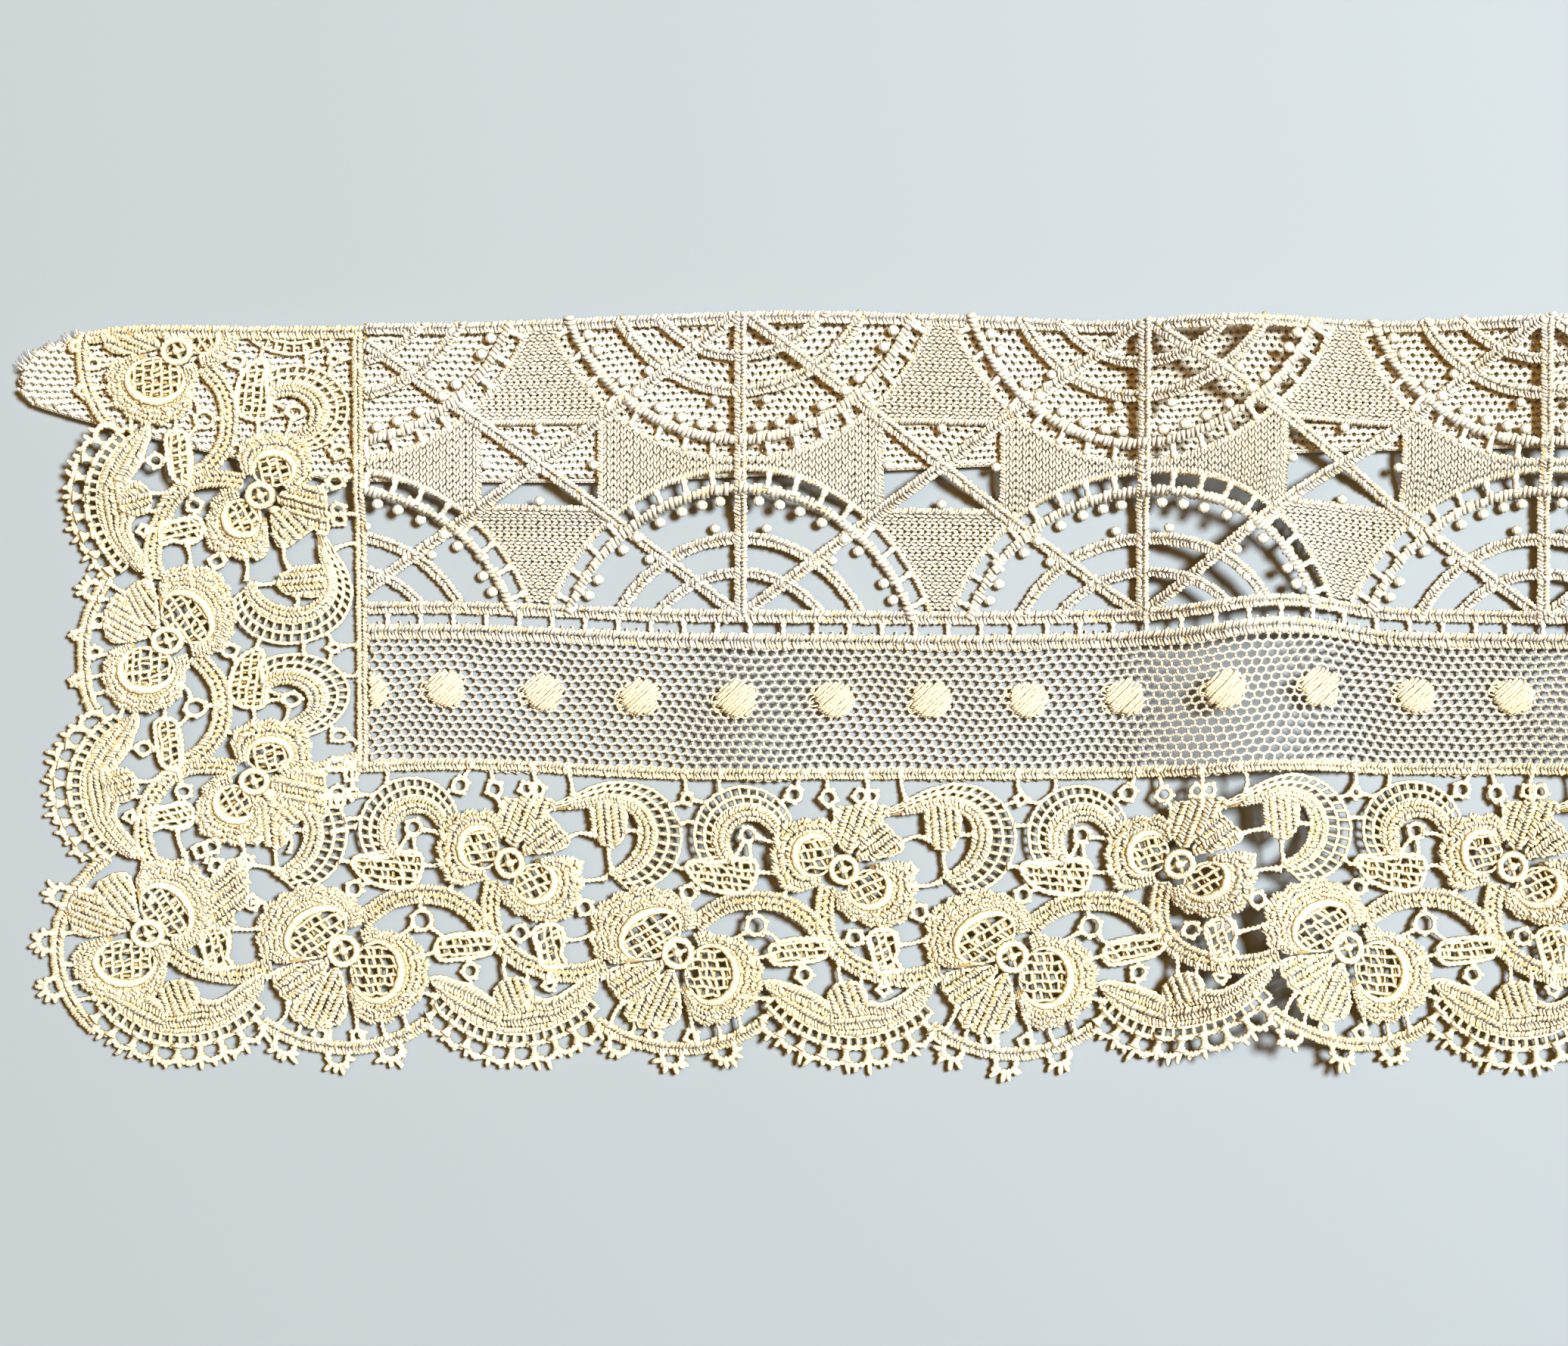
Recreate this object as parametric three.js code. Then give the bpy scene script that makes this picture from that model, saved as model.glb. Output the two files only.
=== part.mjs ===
import * as THREE from "three";

// An embroidered lace border lying flat. Lengths are in millimetres. X runs along the lace, Y up its
// width and Z up from the table. Plan positions start at the inner corner, where the headings meet.
const LACE_THICKNESS = 1.2;
const NET_THICKNESS = 1.0;
const SEAM = 0.3;
const CUT_END = 167.5;
const TOP_EDGE = 56;
const BOTTOM_EDGE = -39;
const NET_TOP = 15.7;
const EDGE_STEP = 6.4;
const BORDER_BRIDGE = 0.9;
const WHEEL_BRIDGE = 0.4;
const GUIDE_STEP = 7;
const GUIDE_CLEARANCE = 1.6;

// Ripples that stand up from the table: where the crest lies at the top and bottom edges.
const RIPPLES = [
  { crestAtTop: 108, crestAtBottom: 115, halfWidth: 17, height: 4.4 },
  { crestAtTop: 54, crestAtBottom: 48, halfWidth: 12, height: 0.9 },
  { crestAtTop: 152, crestAtBottom: 158, halfWidth: 11, height: 1.2 },
];

// Waves in plan: how far the cloth shifts up at its top edge, ladder row, heading and bottom edge.
const LADDER = 18.3;
const WAVES = [
  { x: 12, halfWidth: 30, atTop: 0, atLadder: 0.6, atHeading: 1.2, atBottom: 0 },
  { x: 56, halfWidth: 52, atTop: 1.5, atLadder: -0.3, atHeading: -0.1, atBottom: 0 },
  { x: 80, halfWidth: 150, atTop: 0, atLadder: -1.0, atHeading: 0, atBottom: 0 },
  { x: 80, halfWidth: 30, atTop: 0, atLadder: -0.2, atHeading: 0, atBottom: -0.8 },
  { x: 113, halfWidth: 21, atTop: 0.9, atLadder: 0.6, atHeading: 0.3, atBottom: 2.0 },
  { x: 117, halfWidth: 16, atTop: 0, atLadder: 1.3, atHeading: 0.5, atBottom: 0 },
  { x: 130, halfWidth: 45, atTop: 0, atLadder: 0, atHeading: 0.5, atBottom: 0 },
  { x: 158, halfWidth: 38, atTop: 1.2, atLadder: -0.85, atHeading: 0.3, atBottom: -0.7 },
];

// Folded net strip behind the upper half: its fold and its top edge along the lace.
const BACKING_STEPS = 27;
const BACKING_WIDTH = 20;
const BACKING_EDGES = [
  { x: -44, fold: 47.4, top: 50.0 },
  { x: -42, fold: 45.4, top: 52.2 },
  { x: -36, fold: 43.6, top: 54.8 },
  { x: -22, fold: 40.0, top: 55.3 },
  { x: -4, fold: 35.8, top: 55.3 },
  { x: 30, fold: 35.6, top: 55.3 },
  { x: 124, fold: 39.6, top: 55.3 },
  { x: CUT_END, fold: 40.4, top: 55.3 },
];
const BACKING_HEIGHT = 2 * NET_THICKNESS + SEAM;
const RAMP_START = 10;
const RAMP_END = 2.5;

// Half wheels of the insertion. Each arc's circle is centred a little beyond the heading line.
const WHEEL_PITCH = 51;
const FIRST_WHEEL = -3;
const WHEELS = 4;
const HEADING_LINE = 20.0;
const MID_LINE = 38.0;
const WHEEL_SINK = 8.2;
const HEADING_HALF = 0.85;
const ARC_STEPS = 4;
const WHEEL_BANDS = [
  { inner: 0, outer: 13.0, spokeBelow: 0.8, spokeAbove: 0.85 },
  { inner: 13.9, outer: 16.9, spokeBelow: 0.9, spokeAbove: 0.95 },
  { inner: 18.2, outer: 22.5, spokeBelow: 0.82, spokeAbove: 0.77 },
];
const CROSS_GAP = { across: 6.6, up: 4.7, apexAcross: 2.6, apexUp: 1.7, baseHalf: 4.1, sideHalf: 2.9 };

// Path along the middle of the insertion that dips under the side gaps of each crossing.
const MIDDLE_PATH = [
  { across: -8.5, up: 0 },
  { across: -7.8, up: -3.6 },
  { across: -5.3, up: -3.7 },
  { across: 0, up: 0 },
  { across: 5.3, up: -3.7 },
  { across: 7.8, up: -3.6 },
  { across: 8.5, up: 0 },
];
const END_MARGIN = 1.5;

// Dots of the net band.
const DOT_PITCH = 12.35;
const FIRST_DOT = 10.5;
const DOTS = 13;
const DOT_HEIGHT_ON_NET = 9.0;
const DOT_RADIUS = 2.45;
const DOT_CROWN_RADIUS = 1.7;
const DOT_RISE = 0.7;
const DOT_SIDES = 8;

// Floral border. u runs along the heading, v outward from it, and one repeat is REPEAT long.
const REPEAT = 42.5;
const LOWER_START = -2.5;
const SIDE_START = 16;
const SIDE_SHORTER = 0.859;
const OUTER_CORNER = { x: -35.2, y: -29.6 };
const LEAF_SCALLOP = { u: 22, v: 22, radius: 15.8, from: 136.5, to: 47, loops: 8, loopRise: 0.9 };
const FLOWER_SCALLOP = { u: 42.8, v: 17.9, radius: 18.3 };
const PICOT_PLACES = [-7.2, -0.7, 5.8];
const PICOT = [
  { along: -1.3, out: 0 },
  { along: -1.7, out: 1.7 },
  { along: 0, out: 2.9 },
  { along: 1.7, out: 1.7 },
  { along: 1.3, out: 0 },
];

// The side is wider towards the corner, and its middle scallop is drawn in at the outer edge.
const SIDE_WIDTH = [
  { u: -18, wider: 0.985, drawnIn: 0 },
  { u: -8, wider: 1.03, drawnIn: 2.0 },
  { u: 3, wider: 1.05, drawnIn: 2.0 },
  { u: 12, wider: 1.05, drawnIn: 0 },
];
const DRAWN_FROM = 27;
const DRAWN_TO = 34;

// Path between two repeats that crosses no gap.
const REPEAT_PATH = [
  { u: 2, v: 0 },
  { u: 2, v: 11 },
  { u: 1.1, v: 14.5 },
  { u: 1.9, v: 17.9 },
  { u: 4.2, v: 19.5 },
  { u: 6.4, v: 21.6 },
  { u: 8.6, v: 22.5 },
  { u: 10.7, v: 25.2 },
  { u: 10.8, v: 29.2 },
];

// Gaps of one repeat: middle, half length, half width and turn in degrees.
const GAP_SIDES = 8;
const BORDER_GAPS = [
  { u: 9.8, v: 9.5, long: 2.6, wide: 2.2, turn: 20 },
  { u: 17.0, v: 5.1, long: 2.8, wide: 1.7, turn: 12 },
  { u: 29.6, v: 8.1, long: 2.2, wide: 1.5, turn: 0 },
  { u: 30.7, v: 12.6, long: 2.4, wide: 1.7, turn: 12 },
  { u: 32.9, v: 16.9, long: 2.8, wide: 1.4, turn: 0 },
  { u: 29.5, v: 20.0, long: 2.4, wide: 1.6, turn: 25 },
  { u: 22.1, v: 20.7, long: 2.2, wide: 1.3, turn: 10 },
  { u: 41.1, v: 14.8, long: 2.0, wide: 1.4, turn: -25 },
  { u: 4.7, v: 16.6, long: 2.1, wide: 1.2, turn: -25 },
  { u: 7.8, v: 19.2, long: 2.2, wide: 1.2, turn: -12 },
  { u: 13.7, v: 19.7, long: 2.7, wide: 1.2, turn: 20 },
  { u: 16.1, v: 16.4, long: 2.1, wide: 1.1, turn: 12 },
  { u: 16.6, v: 26.4, long: 3.2, wide: 1.3, turn: 10 },
  { u: 26.2, v: 28.2, long: 2.4, wide: 1.1, turn: 3 },
  { u: 40.2, v: 33.2, long: 2.1, wide: 1.1, turn: 4 },
  { u: 45.2, v: 33.3, long: 2.1, wide: 1.1, turn: -8 },
  { u: 33.4, v: 29.4, long: 2.1, wide: 1.4, turn: 60 },
  { u: 36.1, v: 8.3, long: 2.5, wide: 1.1, turn: 80 },
];

// Raised flowers of one repeat.
const FLOWER_SIDES = 12;
const FLOWER_RISE = 0.7;
const FLOWER_CLEARANCE = 0.4;
const FLOWERS = [
  { u: 42.5, v: 23.7, radius: 5.4, turn: 20 },
  { u: 21.1, v: 13.0, radius: 4.4, turn: 200 },
];

const cream = new THREE.MeshStandardMaterial({ color: 0xf2e2b6, roughness: 0.9, metalness: 0 });
const palerCream = new THREE.MeshStandardMaterial({ color: 0xf4ead0, roughness: 0.92, metalness: 0 });
const radians = THREE.MathUtils.degToRad;
const at = (x, y, rise = 0) => new THREE.Vector3(x, y, rise);

function bump(distance, halfWidth) {
  return Math.abs(distance) < halfWidth ? (1 + Math.cos((Math.PI * distance) / halfWidth)) / 2 : 0;
}

function rippleHeight(x, y) {
  const down = (TOP_EDGE - y) / (TOP_EDGE - BOTTOM_EDGE);
  let height = 0;
  for (const { crestAtTop, crestAtBottom, halfWidth, height: crest } of RIPPLES) {
    height += crest * bump(x - THREE.MathUtils.lerp(crestAtTop, crestAtBottom, down), halfWidth);
  }
  return height;
}

// A table's column at a place along it, held level beyond both ends.
function lookUp(table, placeColumn, place, column) {
  const after = table.findIndex((line) => line[placeColumn] >= place);
  if (after <= 0) {
    return table.at(after)[column];
  }
  const [near, far] = [table[after - 1], table[after]];
  const share = (place - near[placeColumn]) / (far[placeColumn] - near[placeColumn]);
  return THREE.MathUtils.lerp(near[column], far[column], share);
}

const backingEdge = (x, column) => lookUp(BACKING_EDGES, "x", x, column);

function sway(x, y) {
  let total = 0;
  for (const { x: middle, halfWidth, atTop, atLadder, atHeading, atBottom } of WAVES) {
    const upTheWidth = [
      { y: BOTTOM_EDGE, shift: atBottom },
      { y: 0, shift: atHeading },
      { y: LADDER, shift: atLadder },
      { y: TOP_EDGE, shift: atTop },
    ];
    total += lookUp(upTheWidth, "y", y, "shift") * bump(x - middle, halfWidth);
  }
  return total;
}

// The lace climbs on to the folded strip a little before the strip's edge.
function overBacking(x, y) {
  const fold = backingEdge(x, "fold");
  const ramp = THREE.MathUtils.smoothstep(y, fold - RAMP_START, fold - RAMP_END);
  return (BACKING_HEIGHT + SEAM) * ramp;
}

function distanceToEdge(point, from, to) {
  const line = new THREE.Line3(at(from.x, from.y), at(to.x, to.y));
  return line.closestPointToPoint(at(point.x, point.y), true, at(0, 0)).distanceTo(at(point.x, point.y));
}

const turnOf = (a, b, c) => (b.x - a.x) * (c.y - a.y) - (b.y - a.y) * (c.x - a.x);

// Triangles of a flat cell, all turning left. One that passes a point on its edge is parted there.
function cellTriangles(points, outline, gaps) {
  const flat = (ring) => ring.map((p) => new THREE.Vector2(p.x, p.y));
  let triangles = THREE.ShapeUtils.triangulateShape(flat(outline), gaps.map(flat));
  triangles = triangles.filter((corners) => new Set(corners).size === 3);
  points.forEach((point, number) => {
    triangles = triangles.flatMap((corners) => {
      const passes = (k) => distanceToEdge(point, points[corners[k]], points[corners[(k + 1) % 3]]) < 1e-4;
      const side = corners.includes(number) ? -1 : [0, 1, 2].findIndex((k) => passes(k));
      if (side < 0) {
        return [corners];
      }
      const [a, b, c] = [0, 1, 2].map((k) => corners[(side + k) % 3]);
      return [[a, number, c], [number, b, c]];
    });
  });
  const turnsLeft = ([a, b, c]) => turnOf(points[a], points[b], points[c]) > 0;
  return triangles.map((corners) => (turnsLeft(corners) ? corners : [corners[0], corners[2], corners[1]]));
}

// True if d lies inside the circle through a, b and c.
function insideCircle(a, b, c, d) {
  const rows = [a, b, c].map((p) => [p.x - d.x, p.y - d.y, (p.x - d.x) ** 2 + (p.y - d.y) ** 2]);
  return new THREE.Matrix3(...rows.flat()).determinant() > 1e-6;
}

// Swaps the edge between two triangles wherever that makes them rounder.
function makeRounder(triangles, points) {
  const owners = new Map();
  const own = (number) => {
    const corners = triangles[number];
    corners.forEach((corner, k) => owners.set(`${corner},${corners[(k + 1) % 3]}`, number));
  };
  triangles.forEach((_, number) => own(number));
  const waiting = [...owners.keys()];
  while (waiting.length > 0) {
    const [a, b] = waiting.pop().split(",").map(Number);
    const [near, far] = [owners.get(`${a},${b}`), owners.get(`${b},${a}`)];
    if (near !== undefined && far !== undefined) {
      const c = triangles[near].find((corner) => corner !== a && corner !== b);
      const d = triangles[far].find((corner) => corner !== a && corner !== b);
      const [pa, pb, pc, pd] = [a, b, c, d].map((number) => points[number]);
      const isConvex = turnOf(pc, pa, pd) > 1e-3 && turnOf(pd, pb, pc) > 1e-3;
      if (isConvex && insideCircle(pa, pb, pc, pd)) {
        owners.delete(`${a},${b}`);
        owners.delete(`${b},${a}`);
        triangles[near] = [c, a, d];
        triangles[far] = [d, b, c];
        own(near);
        own(far);
        waiting.push(`${c},${a}`, `${a},${d}`, `${d},${b}`, `${b},${c}`);
      }
    }
  }
  return triangles;
}

function isInside(point, ring) {
  let inside = false;
  ring.forEach((from, i) => {
    const to = ring[(i + 1) % ring.length];
    if (from.y > point.y !== to.y > point.y) {
      const crossing = from.x + ((point.y - from.y) / (to.y - from.y)) * (to.x - from.x);
      inside = point.x < crossing ? !inside : inside;
    }
  });
  return inside;
}

function edgeDistance(point, ring) {
  return Math.min(...ring.map((from, i) => distanceToEdge(point, from, ring[(i + 1) % ring.length])));
}

// Extra points that let a cell bend smoothly, wherever there is room for them.
function guidePoints(outline, gaps) {
  const guides = [];
  const { min, max } = new THREE.Box3().setFromPoints(outline);
  for (let x = Math.ceil(min.x / GUIDE_STEP) * GUIDE_STEP; x < max.x; x += GUIDE_STEP) {
    for (let y = Math.ceil(min.y / GUIDE_STEP) * GUIDE_STEP; y < max.y; y += GUIDE_STEP) {
      const guide = at(x, y);
      const isClear = [outline, ...gaps].every((ring) => edgeDistance(guide, ring) > GUIDE_CLEARANCE);
      if (isClear && isInside(guide, outline) && !gaps.some((ring) => isInside(guide, ring))) {
        guides.push([guide]);
      }
    }
  }
  return guides;
}

// A closed sheet from flat cells. Neighbouring cells share their edge points, so walls stand only on
// the outline and round the gaps. A point's z raises the upper face there.
function clothSolid(cells, thickness, lift) {
  const lower = [];
  const upper = [];
  const numbers = new Map();
  const numberOf = (point) => {
    const key = `${point.x.toFixed(5)},${point.y.toFixed(5)}`;
    if (!numbers.has(key)) {
      const y = point.y + sway(point.x, point.y);
      const z = rippleHeight(point.x, point.y) + lift(point.x, point.y);
      numbers.set(key, lower.length);
      lower.push([point.x, y, z]);
      upper.push([point.x, y, z + thickness + point.z]);
    }
    return numbers.get(key);
  };

  const faces = [];
  for (const { outline, gaps } of cells) {
    const inner = [...gaps, ...guidePoints(outline, gaps)];
    const points = [outline, ...inner].flat();
    for (const corners of makeRounder(cellTriangles(points, outline, inner), points)) {
      faces.push(corners.map((corner) => numberOf(points[corner])));
    }
  }

  const count = lower.length;
  const triangles = [];
  const edges = new Set();
  for (const [a, b, c] of faces) {
    triangles.push(a + count, b + count, c + count, a, c, b);
    edges.add(`${a},${b}`).add(`${b},${c}`).add(`${c},${a}`);
  }
  for (const edge of edges) {
    const [a, b] = edge.split(",").map(Number);
    if (!edges.has(`${b},${a}`)) {
      triangles.push(a, b, b + count, a, b + count, a + count);
    }
  }

  const geometry = new THREE.BufferGeometry();
  geometry.setAttribute("position", new THREE.Float32BufferAttribute([...lower, ...upper].flat(), 3));
  geometry.setIndex(triangles);
  geometry.computeVertexNormals();
  return geometry;
}

function clearlyInside(ring, outline, clearance) {
  return ring.every((point) => edgeDistance(point, outline) >= clearance && isInside(point, outline));
}

function ringPoints(middle, radius, sides, turn, rise) {
  return Array.from({ length: sides }, (_, i) => {
    const angle = radians(turn) + (2 * Math.PI * i) / sides;
    const r = radius(i);
    return at(middle.x + r * Math.cos(angle), middle.y + r * Math.sin(angle), rise);
  });
}

// Cells between an outer and an inner ring with the same number of points, and the inner ring itself.
function raisedCells(outer, inner) {
  const cells = outer.map((point, i) => {
    const next = (i + 1) % outer.length;
    return { outline: [point, outer[next], inner[next], inner[i]], gaps: [] };
  });
  return [...cells, { outline: inner, gaps: [] }];
}

// A straight edge with points close enough to follow the waves.
function straightEdge(from, to) {
  const steps = Math.max(1, Math.ceil(from.distanceTo(to) / EDGE_STEP));
  return Array.from({ length: steps }, (_, i) => from.clone().lerp(to, i / steps));
}

function dottedNet() {
  const bottom = SEAM / 2;
  const top = NET_TOP - SEAM / 2;
  const cuts = [SEAM / 2];
  for (let i = 0; i <= DOTS; i += 1) {
    cuts.push(FIRST_DOT + (i - 0.5) * DOT_PITCH);
  }
  cuts.push(CUT_END);

  const cells = [];
  for (let i = 0; i + 1 < cuts.length; i += 1) {
    const [left, right] = [cuts[i], cuts[i + 1]];
    const outline = [
      ...straightEdge(at(left, bottom), at(right, bottom)),
      at(right, bottom),
      ...straightEdge(at(right, top), at(left, top)),
      at(left, top),
    ];
    const gaps = [];
    if (i > 0 && i <= DOTS) {
      const middle = at(FIRST_DOT + (i - 1) * DOT_PITCH, DOT_HEIGHT_ON_NET);
      const rim = ringPoints(middle, () => DOT_RADIUS, DOT_SIDES, 22.5, 0);
      const crown = ringPoints(middle, () => DOT_CROWN_RADIUS, DOT_SIDES, 22.5, DOT_RISE);
      gaps.push(rim);
      cells.push(...raisedCells(rim, crown));
    }
    cells.push({ outline, gaps });
  }
  return clothSolid(cells, NET_THICKNESS, () => 0);
}

// Where a line from a point in a direction first leaves a circle.
function meetCircle(start, direction, centre, radius) {
  const dx = start.x - centre.x;
  const dy = start.y - centre.y;
  const along = dx * direction.x + dy * direction.y;
  const beyond = dx * dx + dy * dy - radius * radius;
  return start.clone().addScaledVector(direction, -along + Math.sqrt(along * along - beyond));
}

function arcBetween(centre, from, to) {
  const radius = Math.hypot(from.x - centre.x, from.y - centre.y);
  const start = Math.atan2(from.y - centre.y, from.x - centre.x);
  const end = Math.atan2(to.y - centre.y, to.x - centre.x);
  return Array.from({ length: ARC_STEPS + 1 }, (_, i) => {
    const angle = THREE.MathUtils.lerp(start, end, i / ARC_STEPS);
    return at(centre.x + radius * Math.cos(angle), centre.y + radius * Math.sin(angle));
  });
}

// Gaps of the right half of a lower half wheel whose hub is at x = 0 on the heading line y = 0. In
// each band one lies below the slanting spoke and one above it. The columns are the spokes' half widths.
function halfWheelGaps() {
  const centre = at(0, -WHEEL_SINK);
  const slope = at(WHEEL_PITCH / 2, MID_LINE - HEADING_LINE).normalize();
  const across = at(-slope.y, slope.x);
  const gaps = [];
  for (const { inner, outer, spokeBelow, spokeAbove } of WHEEL_BANDS) {
    const heading = { start: at(0, HEADING_HALF), direction: at(1, 0) };
    const below = { start: across.clone().multiplyScalar(-spokeBelow), direction: slope };
    const above = { start: across.clone().multiplyScalar(spokeAbove), direction: slope };
    const upright = { start: at(spokeAbove, 0), direction: at(0, 1) };
    const belowApex = at((HEADING_HALF * slope.x + spokeBelow) / slope.y, HEADING_HALF);
    const aboveApex = at(spokeAbove, (spokeAbove * slope.y + spokeAbove) / slope.x);
    const meet = (line, radius) => meetCircle(line.start, line.direction, centre, radius);
    for (const [low, high, apex] of [[heading, below, belowApex], [above, upright, aboveApex]]) {
      const far = arcBetween(centre, meet(low, outer), meet(high, outer));
      const near = inner > 0 ? arcBetween(centre, meet(high, inner), meet(low, inner)) : [apex];
      gaps.push([...far, ...near]);
    }
  }
  return gaps;
}

// The part of a ring on the kept side of an upright line.
function trimRing(ring, line, keepRight) {
  const side = (p) => (keepRight ? p.x - line : line - p.x);
  const kept = [];
  ring.forEach((point, i) => {
    const next = ring[(i + 1) % ring.length];
    if (side(point) >= 0) {
      kept.push(point);
    }
    if (side(point) * side(next) < 0) {
      kept.push(point.clone().lerp(next, side(point) / (side(point) - side(next))));
    }
  });
  return kept;
}

function insertionGaps() {
  const quarter = halfWheelGaps();
  const gaps = [];
  for (let i = 0; i < WHEELS; i += 1) {
    const hub = FIRST_WHEEL + i * WHEEL_PITCH;
    for (const mirror of [1, -1]) {
      for (const ring of quarter) {
        gaps.push(ring.map((p) => at(hub + mirror * p.x, HEADING_LINE + p.y)));
        gaps.push(ring.map((p) => at(hub + mirror * p.x, 2 * MID_LINE - HEADING_LINE - p.y)));
      }
    }
    const { across, up, apexAcross, apexUp, baseHalf, sideHalf } = CROSS_GAP;
    const cross = hub + WHEEL_PITCH / 2;
    for (const sign of [1, -1]) {
      gaps.push([
        at(cross, MID_LINE + sign * apexUp),
        at(cross + baseHalf, MID_LINE + sign * up),
        at(cross - baseHalf, MID_LINE + sign * up),
      ]);
      gaps.push([
        at(cross + sign * apexAcross, MID_LINE),
        at(cross + sign * across, MID_LINE + sideHalf),
        at(cross + sign * across, MID_LINE - sideHalf),
      ]);
    }
  }
  const left = SEAM / 2 + END_MARGIN;
  const right = CUT_END - END_MARGIN;
  return gaps.map((ring) => trimRing(trimRing(ring, left, true), right, false));
}

function ringArea(ring) {
  return Math.abs(THREE.ShapeUtils.area(ring));
}

function wheelInsertion() {
  const bottom = NET_TOP + SEAM / 2;
  const cuts = [SEAM / 2];
  for (let i = 1; i < WHEELS; i += 1) {
    cuts.push(FIRST_WHEEL + i * WHEEL_PITCH);
  }
  cuts.push(CUT_END);

  const gaps = insertionGaps().filter((ring) => ring.length > 2 && ringArea(ring) > 4);
  const cells = [];
  for (let i = 0; i + 1 < cuts.length; i += 1) {
    const [left, right] = [cuts[i], cuts[i + 1]];
    const cross = FIRST_WHEEL + (i + 0.5) * WHEEL_PITCH;
    const dips = MIDDLE_PATH.map(({ across, up }) => at(cross + across, MID_LINE + up));
    const path = [at(left, MID_LINE), ...dips.filter((p) => p.x < right), at(right, MID_LINE)];
    const lower = [
      ...straightEdge(at(left, MID_LINE), at(left, bottom)),
      ...straightEdge(at(left, bottom), at(right, bottom)),
      ...straightEdge(at(right, bottom), at(right, MID_LINE)),
      ...path.slice(1).reverse(),
    ];
    const upper = [
      ...path.slice(0, -1),
      ...straightEdge(at(right, MID_LINE), at(right, TOP_EDGE)),
      ...straightEdge(at(right, TOP_EDGE), at(left, TOP_EDGE)),
      ...straightEdge(at(left, TOP_EDGE), at(left, MID_LINE)),
    ];
    for (const outline of [lower, upper]) {
      const isHere = (ring) => clearlyInside(ring, outline, WHEEL_BRIDGE);
      cells.push({ outline, gaps: gaps.filter(isHere) });
    }
  }
  return clothSolid(cells, LACE_THICKNESS, overBacking);
}

// One repeat of the scalloped edge, from the notch before the leaf scallop to just before the next.
function scallopedEdge() {
  const edge = [];
  const leaf = LEAF_SCALLOP;
  for (let i = 0; i <= 2 * leaf.loops; i += 1) {
    const angle = radians(THREE.MathUtils.lerp(leaf.from, leaf.to, i / (2 * leaf.loops)));
    const r = leaf.radius + (i % 2) * leaf.loopRise;
    edge.push({ u: leaf.u + r * Math.cos(angle), v: leaf.v + r * Math.sin(angle) });
  }
  const flower = FLOWER_SCALLOP;
  for (const place of PICOT_PLACES) {
    for (const { along, out } of PICOT) {
      const u = REPEAT + place + along;
      const v = flower.v + Math.sqrt(flower.radius ** 2 - (u - flower.u) ** 2) + out;
      edge.push({ u, v });
    }
  }
  return edge;
}

const shifted = (points, repeats) => points.map(({ u, v }) => ({ u: u + repeats * REPEAT, v }));

function ovalGap({ u, v, long, wide, turn }) {
  const angle = radians(turn);
  return Array.from({ length: GAP_SIDES }, (_, i) => {
    const step = (2 * Math.PI * (i + 0.5)) / GAP_SIDES;
    const along = 1.04 * long * Math.cos(step);
    const across = 1.04 * wide * Math.sin(step);
    return {
      u: u + along * Math.cos(angle) - across * Math.sin(angle),
      v: v + along * Math.sin(angle) + across * Math.cos(angle),
    };
  });
}

// Cells of one border piece: its gaps and flowers go into each outline that holds them clear of its edge.
function borderCells(outlines, toPlan, repeats) {
  const cells = [];
  for (const outline of outlines) {
    const gaps = [];
    for (const repeat of repeats) {
      for (const row of BORDER_GAPS) {
        const ring = shifted(ovalGap(row), repeat).map(toPlan);
        if (clearlyInside(ring, outline, BORDER_BRIDGE)) {
          gaps.push(ring);
        }
      }
      for (const { u, v, radius, turn } of FLOWERS) {
        const middle = toPlan({ u: u + repeat * REPEAT, v });
        const lobed = (i) => radius * (0.9 + 0.1 * Math.cos((6 * Math.PI * i) / FLOWER_SIDES));
        const rim = ringPoints(middle, lobed, FLOWER_SIDES, turn, 0);
        const crown = ringPoints(middle, (i) => 0.6 * lobed(i), FLOWER_SIDES, turn, FLOWER_RISE);
        if (clearlyInside(rim, outline, FLOWER_CLEARANCE)) {
          gaps.push(rim);
          cells.push(...raisedCells(rim, crown));
        }
      }
    }
    cells.push({ outline, gaps });
  }
  return cells;
}

// A heading stretch with points close enough to follow the waves.
function headingBetween(from, to) {
  const steps = Math.ceil(Math.abs(to - from) / EDGE_STEP);
  return Array.from({ length: steps - 1 }, (_, i) => ({ u: from + ((i + 1) * (to - from)) / steps, v: 0 }));
}

function seamSide(sign) {
  const along = at(OUTER_CORNER.x, OUTER_CORNER.y).normalize();
  return at(-along.y, along.x).multiplyScalar((sign * SEAM) / 2);
}

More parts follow.
